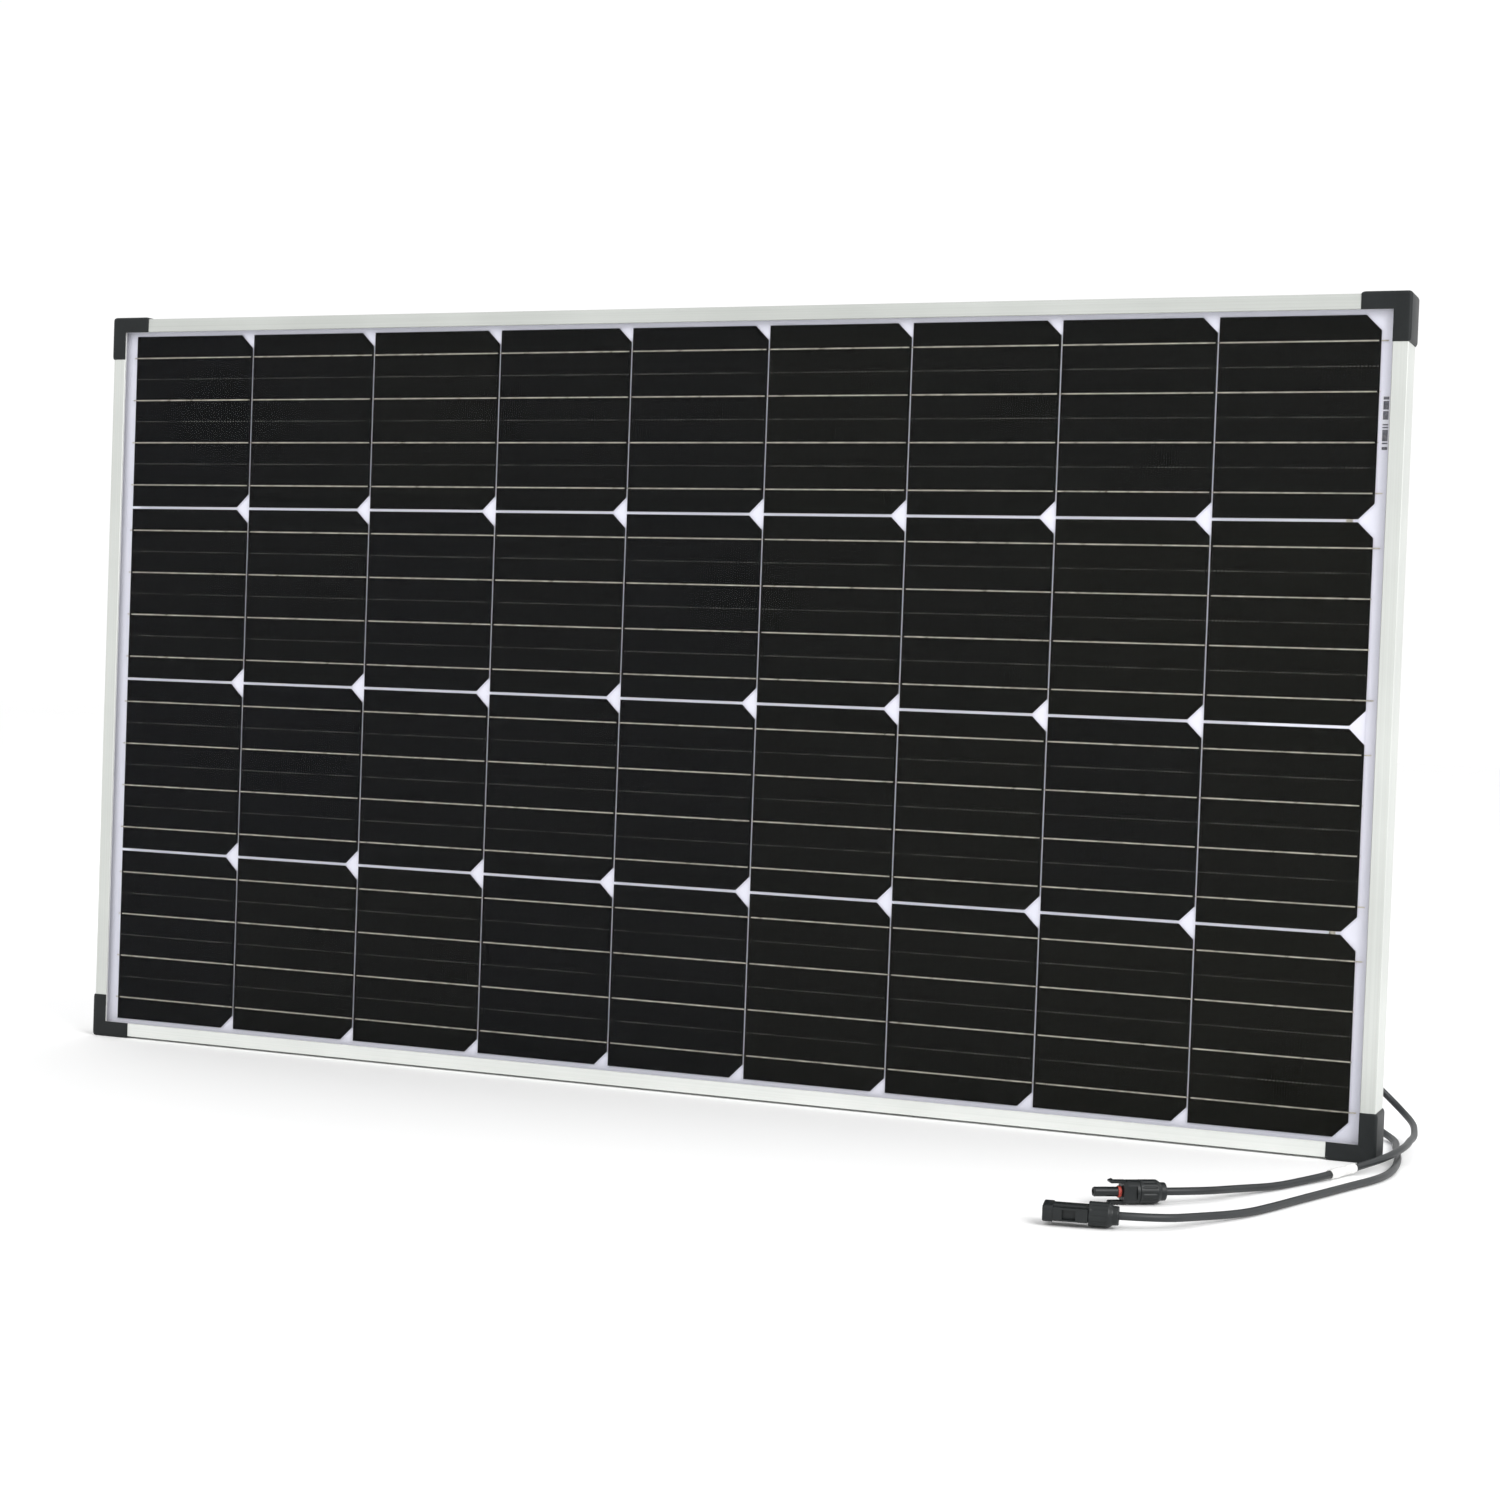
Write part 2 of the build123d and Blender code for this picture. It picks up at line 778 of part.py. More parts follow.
def make_box_inside():
    """Three terminals, the two bypass diodes between them, and the bared cable ends."""
    floor_y = box_back_y + box_floor
    top_y = floor_y + terminal_height
    for name, z in zip(("positive", "center", "negative"), terminal_z):
        terminal = block(
            (terminal_left, floor_y, z - terminal_width / 2),
            (terminal_right, top_y, z + terminal_width / 2),
        )
        for x in (terminal_left + terminal_width / 2, terminal_right - terminal_width / 2):
            screw = Cylinder(terminal_screw_radius, terminal_screw_head)
            terminal += Pos(x, top_y + terminal_screw_head / 2, z) * Rot(90, 0, 0) * screw
        write(f"terminal_{name}", terminal)
    diode_x = (terminal_left + terminal_right) / 2
    diode_y = floor_y + terminal_height / 2
    diodes = []
    for z in ((terminal_z[0] + terminal_z[1]) / 2, (terminal_z[1] + terminal_z[2]) / 2):
        lead = Cylinder(diode_lead_radius, terminal_pitch - terminal_width)
        diodes.append(Pos(diode_x, diode_y, z) * (Cylinder(diode_radius, diode_length) + lead))
    write("bypass_diodes", *diodes)
    cores = []
    for z in gland_z.values():
        length = terminal_left - route_start_x
        middle = (terminal_left + route_start_x) / 2
        cores.append(Pos(middle, gland_y, z) * Rot(0, 90, 0) * Cylinder(core_radius, length))
    write("cable_cores", *cores)


def gland_nut(radius, length, bore_depth, bore_radius, collar=None):
    """A ribbed gland nut along Z: its cable end at Z = 0 and its open end at Z = length."""
    if collar is None:
        nose = [(0, box_nut_taper, box_nut_nose, radius)]
        rib_start = box_nut_taper
    else:
        collar_radius, collar_length = collar
        rib_start = collar_length + connector_taper_length
        nose = [(0, collar_length, collar_radius), (collar_length, rib_start, collar_radius, radius)]
    body = stack(*nose, (rib_start, length, radius))
    for i in range(nut_rib_count):
        groove = block(
            (radius - nut_rib_depth, -nut_rib_width / 2, rib_start + nut_rib_margin),
            (radius + overcut, nut_rib_width / 2, length - nut_rib_margin),
        )
        body -= Rot(0, 0, i * 360 / nut_rib_count) * groove
    body -= stack((length - bore_depth, length + overcut, bore_radius))
    return body - stack((-overcut, length, cable_hole))


def make_box_glands():
    """The two gland nuts on the junction box, and the seals that they press on."""
    open_x = box_left - box_nut_gap
    for name, z in gland_z.items():
        place = Pos(open_x - box_nut_length, gland_y, z) * Rot(0, 90, 0)
        bore = spigot_radius + thread_clearance
        nut = gland_nut(box_nut_radius, box_nut_length, box_nut_length - nut_end_wall, bore)
        write(f"box_gland_nut_{name}", place * nut)
        seal_start = nut_end_wall + seal_clearance
        seal_end = box_nut_length + box_nut_gap - spigot_length - seal_clearance
        seal = stack((seal_start, seal_end, spigot_radius - seal_clearance))
        write(f"box_gland_seal_{name}", place * (seal - stack((0, box_nut_length, cable_hole))))


# ---------------------------------------------------------------- connectors


def connector_rear():
    """The spigot behind a connector's body, which the gland nut screws on to."""
    return stack((connector_spigot_start, connector_nut_end, connector_spigot_radius))


def cable_bore(end):
    """The hole for the jacketed cable, and the narrower one for the contact, up to an end."""
    bore = stack((connector_spigot_start - 1, cable_in_connector, cable_radius + contact_gap))
    return bore + stack((cable_in_connector, end, probe_bore))


def make_connector_gland(name, place):
    """A connector's gland nut and the cable seal inside it."""
    bore = connector_spigot_radius + thread_clearance
    depth = connector_nut_end - nut_end_wall - connector_nut_seat
    length = connector_nut_end - connector_nut_gap
    collar = (connector_collar_radius, connector_collar_length)
    nut = gland_nut(connector_nut_radius, length, depth, bore, collar)
    write(f"{name}_gland_nut", place * nut)
    seal_start = length - depth + seal_clearance
    seal_end = connector_spigot_start - seal_clearance
    seal = stack((seal_start, seal_end, connector_spigot_radius - seal_clearance))
    write(f"{name}_cable_seal", place * (seal - stack((0, connector_nut_end, cable_hole))))


def make_plug():
    """The plug: body with a slim probe, its seal ring and contact, and two latch arms."""
    place = Pos(*plug_rear) * Rot(0, 0, plug_turn) * Rot(0, 90, 0)
    start = connector_nut_end
    shoulder = plug_body_end - plug_shoulder_length
    taper_start = plug_tip - probe_taper_length
    body = connector_rear() + stack(
        (start, shoulder, plug_body_radius),
        (shoulder, plug_body_end, plug_body_radius, plug_body_radius - plug_shoulder_drop),
        (plug_body_end, taper_start, probe_radius),
        (taper_start, plug_tip, probe_radius, probe_radius - probe_taper_drop),
    )
    for side in (-1, 1):
        body -= block(
            (-plug_body_radius, side * plug_body_radius - plug_flat_depth, start + plug_flat_margin),
            (plug_body_radius, side * plug_body_radius + plug_flat_depth, plug_body_end + overcut),
        )
    pocket_half = arm_thickness / 2 + arm_clearance
    arm_start = plug_body_end - arm_root
    for side in (-1, 1):
        body -= block(
            (side * arm_radius - pocket_half, -arm_width / 2 - arm_clearance, arm_start - arm_clearance),
            (side * arm_radius + pocket_half, arm_width / 2 + arm_clearance, plug_tip),
        )
    groove_start = plug_body_end + seal_groove_start
    groove = stack((groove_start, groove_start + seal_ring_section, probe_radius + overcut))
    body -= groove - stack((0, plug_tip, probe_radius - seal_groove))
    body -= cable_bore(plug_tip + overcut)
    write("plug_body", place * body)

    ring_start = groove_start + seal_ring_gap
    ring_end = groove_start + seal_ring_section - seal_ring_gap
    tube_radius = (seal_ring_radius - probe_radius + seal_groove) / 2
    ring = stack((ring_start, ring_end, seal_ring_radius))
    ring = fillet(ring.edges(), seal_ring_rounding * min(tube_radius, (ring_end - ring_start) / 2))
    ring -= stack((0, plug_tip, probe_radius - seal_groove + contact_gap))
    write("plug_seal_ring", place * ring)

    crimp_end = cable_in_connector + crimp_length
    contact_end = plug_tip - plug_contact_recess
    contact = stack(
        (cable_in_connector + contact_gap, crimp_end, crimp_radius),
        (crimp_end, contact_end, plug_contact_radius),
    )
    contact -= stack((contact_end - plug_contact_depth, contact_end + overcut, plug_contact_bore))
    write("plug_contact", place * contact)

    arm_end = plug_body_end + arm_reach
    for side, level in ((-1, "upper"), (1, "lower")):
        outline = [
            (arm_radius - arm_thickness / 2, arm_start),
            (arm_radius + arm_thickness / 2, arm_start),
            (arm_radius + arm_thickness / 2, arm_end - arm_hook_length),
            (arm_radius + arm_thickness / 2 + arm_hook, arm_end - arm_hook_length + arm_hook_slope),
            (arm_radius + arm_thickness / 2, arm_end),
            (arm_radius, arm_end),
            (arm_radius - arm_thickness / 2, arm_end - arm_tip_slope),
        ]
        points = [(side * x, -arm_width / 2, z) for x, z in outline]
        arm = extrude(make_face(Polyline(*points, close=True)), amount=arm_width, dir=(0, 1, 0))
        write(f"plug_latch_arm_{level}", place * arm)
    make_connector_gland("plug", place)


def make_socket():
    """The socket: a windowed barrel with a flared mouth, and its pin contact."""
    place = Pos(*socket_rear) * Rot(0, 0, socket_turn) * Rot(0, 90, 0) * Rot(0, 0, socket_roll)
    start = connector_nut_end
    body = connector_rear() + stack((start, socket_barrel_end, socket_barrel_radius))
    rails = block(
        (-socket_rail_width / 2, -socket_rail_height / 2, start),
        (socket_rail_width / 2, socket_rail_height / 2, socket_barrel_end),
    )
    body += fillet(rails.edges().filter_by(Axis.Z), socket_rail_edge)
    mouth = block(
        (-socket_block_width / 2, -socket_block_height / 2, socket_barrel_end),
        (socket_block_width / 2, socket_block_height / 2, socket_tip),
    )
    mouth = fillet(mouth.edges().filter_by(Axis.Z), socket_block_corner)
    body += chamfer(mouth.faces().sort_by(Axis.Z)[-1].edges(), socket_mouth_edge)
    for side in (-1, 1):
        slot_low = side * arm_radius - socket_slot_height / 2
        body -= block(
            (slot_low, -socket_slot_width / 2, socket_window_start),
            (slot_low + socket_slot_height, socket_slot_width / 2, socket_tip + overcut),
        )
        window_near, window_far = sorted((side * arm_radius, side * socket_block_width))
        window = block(
            (window_near, -socket_slot_width / 2, socket_window_start),
            (window_far, socket_slot_width / 2, socket_window_start + socket_window_length),
        )
        body -= window
    bore_start = socket_tip - socket_bore_depth
    body -= cable_bore(bore_start + overcut)
    body -= stack((bore_start, socket_tip + overcut, socket_bore))
    write("socket_body", place * body)

    crimp_end = cable_in_connector + crimp_length
    pin_end = socket_tip - socket_pin_recess
    contact = stack(
        (cable_in_connector + contact_gap, crimp_end, crimp_radius),
        (crimp_end, pin_end - socket_pin_taper, socket_pin_radius),
        (pin_end - socket_pin_taper, pin_end, socket_pin_radius, socket_pin_radius / 2),
    )
    write("socket_contact", place * contact)
    make_connector_gland("socket", place)


# ---------------------------------------------------------------- leads


def lead_radii(route):
    """The largest arc that each corner's two runs allow."""
    points = [Vector(*point) for point in route]
    radii = []
    for before, corner, after in zip(points, points[1:], points[2:]):
        run_in = corner - before
        run_out = after - corner
        half_turn = radians(run_in.get_angle(run_out)) / 2
        radii.append(0.45 * min(run_in.length, run_out.length) / tan(half_turn))
    return radii


def make_lead(name, route):
    """A cable along its route: straight runs joined by tangent arcs."""
    radii = lead_radii(route)
    path = FilletPolyline(*route, radius=radii)
    start = Plane(origin=path @ 0, z_dir=path % 0)
    tube = sweep(start * Circle(cable_radius), path=path)
    write(f"cable_{name}", tube)
    expected = pi * cable_radius**2 * path.length
    print(f"cable_{name}: length {path.length:.1f}, volume {tube.volume / expected:.5f} of section x length")
    print("  radii", " ".join(f"{radius:.0f}" for radius in radii))


def make_sleeve():
    """The sleeve label round a straight stretch of the plug's lead."""
    first, last = (positive_route[i] for i in sleeve_run)
    middle = [(a + b) / 2 for a, b in zip(first, last)]
    turn = degrees(atan2(last[1] - first[1], last[0] - first[0]))
    tilt = degrees(atan2(last[2] - first[2], hypot(last[0] - first[0], last[1] - first[1])))
    place = Pos(*middle) * Rot(0, 0, turn) * Rot(0, 90 - tilt, 0)
    sleeve = Cylinder(cable_hole + sleeve_wall, sleeve_length) - Cylinder(cable_hole, sleeve_length + 1)
    write("cable_sleeve_label", place * sleeve)


# ---------------------------------------------------------------- the panel

os.makedirs("parts", exist_ok=True)
make_frame()
make_corners()
make_sheets()
make_strings()
make_bus_ribbons()
make_labels()
make_box()
make_box_inside()
make_box_glands()
make_plug()
make_socket()
make_lead("positive", positive_route)
make_lead("negative", negative_route)
make_sleeve()
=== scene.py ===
"""A framed solar panel standing on a pale floor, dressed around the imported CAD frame."""

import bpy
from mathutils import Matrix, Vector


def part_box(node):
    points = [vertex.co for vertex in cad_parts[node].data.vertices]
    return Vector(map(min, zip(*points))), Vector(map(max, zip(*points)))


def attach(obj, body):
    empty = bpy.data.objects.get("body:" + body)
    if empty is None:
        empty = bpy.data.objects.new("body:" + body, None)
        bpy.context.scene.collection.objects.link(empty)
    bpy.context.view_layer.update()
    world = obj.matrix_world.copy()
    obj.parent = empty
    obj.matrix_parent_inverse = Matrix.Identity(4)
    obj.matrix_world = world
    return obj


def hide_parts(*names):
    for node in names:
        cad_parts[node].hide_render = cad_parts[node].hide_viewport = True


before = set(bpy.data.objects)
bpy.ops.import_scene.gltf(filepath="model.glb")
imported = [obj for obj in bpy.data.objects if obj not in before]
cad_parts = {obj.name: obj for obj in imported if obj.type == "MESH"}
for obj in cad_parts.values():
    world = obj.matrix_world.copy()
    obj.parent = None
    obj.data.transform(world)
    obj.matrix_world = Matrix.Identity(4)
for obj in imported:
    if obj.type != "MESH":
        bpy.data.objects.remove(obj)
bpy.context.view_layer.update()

import logging
import math
from dataclasses import dataclass
from enum import Enum
from typing import Callable, Sequence

import bpy
import numpy as np
from mathutils import Matrix, Vector

log = logging.getLogger("solar_panel")

MM = 0.001
Point = tuple[float, float, float]
Colour = tuple[float, float, float, float]
Outline = Sequence[tuple[float, float]]
Socket = bpy.types.NodeSocket
Material = bpy.types.Material
Piece = bpy.types.Object

# The panel's own places, in metres
CENTRE_Z = 0.3343
BACKSHEET_BACK = -10.2 * MM
ROW_PITCH = 159.05 * MM
GLAND_X = 0.425
GLAND_Y = 0.0
GLAND_Z = {"positive": 0.3583, "negative": 0.3103}
CABLE_RADIUS = 2.75 * MM
CABLE_HOLE = 3.05 * MM

# Noise from 0 to 1 keeps near its middle, so a pattern spreads these stretches of it
TINT_RANGE = (0.35, 0.65)
SHEEN_RANGE = (0.3, 0.7)


# ---------------------------------------------------------------- colours and nodes


def linear(hex_code: str) -> Colour:
    """The linear colour of an sRGB hex value.

    Args:
        hex_code: A hash sign and six digits.

    Returns:
        Red, green, blue and a full alpha.
    """
    channels = [int(hex_code[i : i + 2], 16) / 255 for i in (1, 3, 5)]
    return (*[c / 12.92 if c <= 0.04045 else ((c + 0.055) / 1.055) ** 2.4 for c in channels], 1.0)


def add(tree: bpy.types.NodeTree, kind: str, inputs: dict | None = None, **settings) -> bpy.types.Node:
    """Adds one shader node.

    Args:
        tree: The material's node tree.
        kind: The node's type without its ShaderNode prefix.
        inputs: Socket name or index to a value, or to an output socket to link.
        settings: The node's own properties.

    Returns:
        The new node.
    """
    made = tree.nodes.new("ShaderNode" + kind)
    for key, value in settings.items():
        setattr(made, key, value)
    for key, value in (inputs or {}).items():
        if isinstance(value, Socket):
            tree.links.new(value, made.inputs[key])
        else:
            made.inputs[key].default_value = value
    return made


class Pattern:
    """Builds one Principled material and the patterns that drive it."""

    def __init__(self, name: str, **constants) -> None:
        """Starts a material.

        Args:
            name: The material's name.
            constants: Shader socket names, with underscores for spaces, to plain values.
        """
        self.material = bpy.data.materials.new(name)
        self.material.use_nodes = True
        self.tree = self.material.node_tree
        self.shader = self.tree.nodes["Principled BSDF"]
        for key, value in constants.items():
            self.shader.inputs[key.replace("_", " ")].default_value = value
        self.place = add(self.tree, "TexCoord").outputs["Object"]

    def stretched(self, x: float, y: float, z: float) -> Socket:
        """The place with each axis multiplied, so that a pattern has that many repeats a metre."""
        return add(self.tree, "Mapping", {"Vector": self.place, "Scale": (x, y, z)}).outputs[0]

    def axes(self) -> tuple[Socket, Socket, Socket]:
        """The place's X, Y and Z."""
        return tuple(add(self.tree, "SeparateXYZ", {0: self.place}).outputs)

    def noise(self, size: float, detail: float = 3.0, place: Socket | None = None) -> Socket:
        """Soft noise with grains of a size in metres; with a place given, its own units count."""
        inputs = {"Vector": self.place if place is None else place, "Scale": 1 / size, "Detail": detail}
        return add(self.tree, "TexNoise", inputs).outputs["Fac"]

    def math(self, operation: str, *values: float | Socket) -> Socket:
        """One Math node over plain values or sockets."""
        return add(self.tree, "Math", dict(enumerate(values)), operation=operation).outputs[0]

    def product(self, first: Socket, *others: float | Socket) -> Socket:
        """Values multiplied together."""
        for other in others:
            first = self.math("MULTIPLY", first, other)
        return first

    def between(self, value: Socket, middle: float, half: float) -> Socket:
        """1 where a value lies within a distance of a middle, and 0 elsewhere."""
        distance = self.math("ABSOLUTE", self.math("SUBTRACT", value, middle))
        return self.math("LESS_THAN", distance, half)

    def span(self, value: Socket, low: float, high: float, to_low: float, to_high: float) -> Socket:
        """A value carried from one range to another and held there."""
        inputs = {"Value": value, "From Min": low, "From Max": high, "To Min": to_low, "To Max": to_high}
        return add(self.tree, "MapRange", inputs).outputs[0]

    def blend(self, share: Socket, first: Colour | Socket, second: Colour | Socket) -> Socket:
        """A colour between two, by a share from 0 to 1."""
        return add(self.tree, "Mix", {0: share, 6: first, 7: second}, data_type="RGBA").outputs[2]

    def drive(self, socket: str, value: Socket) -> None:
        """Links a pattern to one of the shader's sockets."""
        self.tree.links.new(value, self.shader.inputs[socket])

    def tint(self, noise: Socket, first: str, second: str) -> None:
        """Drives the colour by a noise, from one hex value to another."""
        share = self.span(noise, *TINT_RANGE, 0, 1)
        self.drive("Base Color", self.blend(share, linear(first), linear(second)))

    def sheen(self, noise: Socket, smooth: float, rough: float) -> None:
        """Drives the roughness by a noise, from one value to another."""
        self.drive("Roughness", self.span(noise, *SHEEN_RANGE, smooth, rough))

    def bump(self, height: Socket, depth: float) -> None:
        """Raises the surface by a pattern from 0 to 1, to a depth in metres."""
        inputs = {"Height": height, "Distance": depth, "Strength": 1.0}
        self.drive("Normal", add(self.tree, "Bump", inputs).outputs[0])


# ---------------------------------------------------------------- finishes


@dataclass(frozen=True)
class Finish:
    """A surface finish, named for what the real one is made of."""

    name: str
    slot: str

    def build(self) -> Material:
        """The finish's material, made once for each name."""
        return bpy.data.materials.get(self.name) or self.make()

    def make(self) -> Material:
        """Makes the material."""
        raise NotImplementedError

    def dress(self, *nodes: str) -> None:
        """Gives the material to CAD nodes, which keep their shape."""
        for name in nodes:
            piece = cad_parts[name]
            piece.data.materials.clear()
            piece.data.materials.append(self.build())
            log.info("%s: %s", name, self.name)

    def cover(self, piece: Piece, body: str) -> Piece:
        """Gives the material to a new piece and hangs the piece on a body."""
        piece.data.materials.append(self.build())
        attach(piece, body)
        log.info("%s: %s, on %s", piece.name, self.name, body)
        return piece


class Run(Enum):
    """The direction in which a bar was extruded."""

    ALONG_X = (2.5, 1400.0, 1400.0)
    UPRIGHT = (1400.0, 1400.0, 2.5)


@dataclass(frozen=True)
class AnodisedAluminium(Finish):
    """Extruded and clear-anodised aluminium: pale, satin, with faint die lines along the bar."""

    run: Run = Run.ALONG_X
    pale: str = "#D2D5D1"
    grey: str = "#C5C8C4"
    metal: float = 0.55
    smooth: float = 0.42
    rough: float = 0.54
    line_depth: float = 0.03 * MM

    def make(self) -> Material:
        """Die lines are noise drawn out along the bar; broad noise varies the oxide."""
        pattern = Pattern(self.name, Metallic=self.metal)
        lines = pattern.noise(1.0, 2.0, pattern.stretched(*self.run.value))
        cloud = pattern.noise(90 * MM)
        tone = pattern.math("MULTIPLY_ADD", lines, 0.5, pattern.product(cloud, 0.5))
        pattern.tint(tone, self.grey, self.pale)
        pattern.sheen(tone, self.smooth, self.rough)
        pattern.bump(lines, self.line_depth)
        return pattern.material


@dataclass(frozen=True)
class MouldedPlastic(Finish):
    """Moulded engineering plastic: spark-eroded grain, a little paler where the grain stands up."""

    dark: str = "#222627"
    light: str = "#2E3334"
    rough: float = 0.5
    grain: float = 0.8 * MM
    depth: float = 0.06 * MM
    ior: float = 1.4
    detail: float = 4.0
    broad: float = 22 * MM
    broad_share: float = 0.6
    rougher: float = 0.08

    def make(self) -> Material:
        """Fine noise for the grain, and broad noise for handling and dust."""
        pattern = Pattern(self.name, IOR=self.ior)
        grain = pattern.noise(self.grain, self.detail)
        fine = pattern.product(grain, 1 - self.broad_share)
        tone = pattern.math("MULTIPLY_ADD", pattern.noise(self.broad), self.broad_share, fine)
        pattern.tint(tone, self.dark, self.light)
        pattern.sheen(tone, self.rough - 0.06, self.rough + self.rougher)
        pattern.bump(grain, self.depth)
        return pattern.material


@dataclass(frozen=True)
class CableJacket(MouldedPlastic):
    """Extruded cross-linked jacket: dark grey, soft sheen, faint grain and dust."""

    dark: str = "#191C1E"
    light: str = "#262A2C"
    rough: float = 0.46
    grain: float = 1.1 * MM
    depth: float = 0.04 * MM
    ior: float = 1.5
    detail: float = 3.0
    broad: float = 28 * MM
    broad_share: float = 0.7
    rougher: float = 0.06


@dataclass(frozen=True)
class SolarGlass(Finish):
    """Low-iron tempered glass with an anti-glare coat: nearly clear, with a faint grey-green body."""

    body: str = "#0C1112"
    share: float = 0.035
    rough: float = 0.09
    wave_depth: float = 0.01 * MM

    def make(self) -> Material:
        """The share is what the glass itself shows; the rolled texture is a slow, shallow wave."""
        pattern = Pattern(self.name, Base_Color=linear(self.body), Alpha=self.share, IOR=1.5)
        wave = pattern.noise(6 * MM, 2.0)
        pattern.sheen(wave, self.rough, self.rough + 0.08)
        pattern.bump(wave, self.wave_depth)
        return pattern.material


@dataclass(frozen=True)
class CuredEncapsulant(Finish):
    """Clear cured encapsulant: dark in its small share, so that it never veils what it holds."""

    tint: str = "#15161C"
    cloudy: str = "#23252C"
    share: float = 0.02

    def make(self) -> Material:
        """A faint cloud in the share of tint."""
        pattern = Pattern(self.name, Alpha=self.share, Roughness=0.5, IOR=1.1)
        cloud = pattern.noise(40 * MM)
        pattern.drive("Base Color", pattern.blend(cloud, linear(self.tint), linear(self.cloudy)))
        return pattern.material


@dataclass(frozen=True)
class CoatedSilicon(Finish):
    """Textured monocrystalline silicon under a blue-black anti-reflection coat, with silver fingers."""

    blue: str = "#07080F"
    brown: str = "#0F0F0B"
    mottled: str = "#1B1B18"
    silver: str = "#6A6A64"
    gap_tone: str = "#A8A8A2"
    ior: float = 1.09
    smooth: float = 0.38
    rough: float = 0.5
    grid_half: float = 568.7 * MM
    column_pitch: float = 126.5 * MM
    ribbon_pitch: float = 39.0 * MM
    finger_pitch: float = 2.1 * MM
    finger_reach: float = 0.3 * MM
    finger_share: float = 0.11
    dot_pitch: float = 3.0 * MM

    def make(self) -> Material:
        """Upright fingers, and rows of short gaps in them midway between the ribbons.

        The coat's hue drifts from cell to cell and across the panel. The fingers are drawn a
        few times wider and fainter than the real 0.05 mm, which is too fine to show.
        """
        pattern = Pattern(self.name, IOR=self.ior)
        calc = pattern.math
        x, _, z = pattern.axes()
        column = calc("FLOOR", calc("DIVIDE", calc("ADD", x, self.grid_half), self.column_pitch))
        row_place = calc("DIVIDE", calc("SUBTRACT", z, CENTRE_Z), ROW_PITCH)
        row = calc("FLOOR", row_place)
        centred = calc("SUBTRACT", calc("SUBTRACT", row_place, row), 0.5)
        height = calc("ABSOLUTE", pattern.product(centred, ROW_PITCH))
        cell = add(pattern.tree, "CombineXYZ", {0: column, 1: row}).outputs[0]
        chance = add(pattern.tree, "TexWhiteNoise", {"Vector": cell}).outputs["Value"]
        drift = calc("MULTIPLY_ADD", x, 0.55, 0.5)
        hue = pattern.span(calc("MULTIPLY_ADD", chance, 0.35, pattern.product(drift, 0.8)), 0, 1, 0, 1)
        coat = pattern.blend(hue, linear(self.blue), linear(self.brown))
        mottle = pattern.noise(1.6 * MM, 2.0)
        coat = pattern.blend(pattern.span(mottle, 0.35, 0.75, 0, 0.35), coat, linear(self.mottled))
        finger = calc("PINGPONG", x, self.finger_pitch / 2)
        finger = pattern.span(finger, 0, self.finger_reach, self.finger_share, 0)
        coat = pattern.blend(finger, coat, linear(self.silver))
        line = pattern.span(calc("PINGPONG", height, self.ribbon_pitch / 2), 0.15 * MM, 0.5 * MM, 1, 0)
        inner = calc("LESS_THAN", height, 1.55 * self.ribbon_pitch)
        dot = pattern.span(calc("PINGPONG", x, self.dot_pitch / 2), 0.4 * MM, 0.9 * MM, 1, 0)
        faint = pattern.span(pattern.noise(9 * MM), 0.35, 0.65, 0.1, 0.55)
        dots = pattern.product(line, dot, pattern.product(inner, faint))
        pattern.drive("Base Color", pattern.blend(dots, coat, linear(self.gap_tone)))
        pattern.sheen(mottle, self.smooth, self.rough)
        return pattern.material


@dataclass(frozen=True)
class TinnedCopper(Finish):
    """Solder-coated copper ribbon: soft metal sheen with a rippled coat."""

    dull: str = "#A6A196"
    bright: str = "#D3CDC0"
    rough: float = 0.34

    def make(self) -> Material:
        """Ripples of solder a few millimetres long."""
        pattern = Pattern(self.name, Metallic=1.0)
        ripple = pattern.noise(5 * MM, 3.0)
        pattern.tint(ripple, self.dull, self.bright)
        pattern.sheen(ripple, self.rough - 0.08, self.rough + 0.1)
        pattern.bump(ripple, 0.08 * MM)
        return pattern.material


@dataclass(frozen=True)
class WhiteFilm(Finish):
    """Laminated white polyester film: cool white, faintly dimpled by the mat it was pressed on."""

    pale: str = "#EEEEFA"
    cool: str = "#E9EAF7"
    smooth: float = 0.36
    rough: float = 0.5

    def make(self) -> Material:
        """Dimples about 2 mm apart, and broad clouding."""
        pattern = Pattern(self.name, IOR=1.4)
        dimple = pattern.noise(2 * MM, 2.0)
        pattern.tint(pattern.noise(120 * MM), self.cool, self.pale)
        pattern.sheen(dimple, self.smooth, self.rough)
        pattern.bump(dimple, 0.02 * MM)
        return pattern.material


@dataclass(frozen=True)
class GrainedFinish(Finish):
    """A finish whose tone, sheen and height all follow one noise."""

    dark: str = "#1C1D1D"
    light: str = "#272828"
    rough: float = 0.62
    size: float = 2.5 * MM
    rougher: float = 0.08
    relief: float = 0.08 * MM
    metal: float = 0.0
    ior: float = 1.45

    def make(self) -> Material:
        """The noise's high parts are lighter, rougher and stand up."""
        pattern = Pattern(self.name, Metallic=self.metal, IOR=self.ior)
        grain = pattern.noise(self.size, 4.0)
        pattern.tint(grain, self.dark, self.light)
        pattern.sheen(grain, self.rough - 0.06, self.rough + self.rougher)
        pattern.bump(grain, self.relief)
        return pattern.material


@dataclass(frozen=True)
class Elastomer(GrainedFinish):
    """Cured rubber, sealant or shrunk film: matt and slightly uneven."""


@dataclass(frozen=True)
class BareMetal(GrainedFinish):
    """Uncoated or plated metal: stainless pin, tin-plated contact or copper strands."""

    dark: str = "#A9A9A6"
    light: str = "#CFCFCB"
    rough: float = 0.3
    size: float = 1.2 * MM
    rougher: float = 0.12
    relief: float = 0.03 * MM
    metal: float = 1.0
    ior: float = 1.5


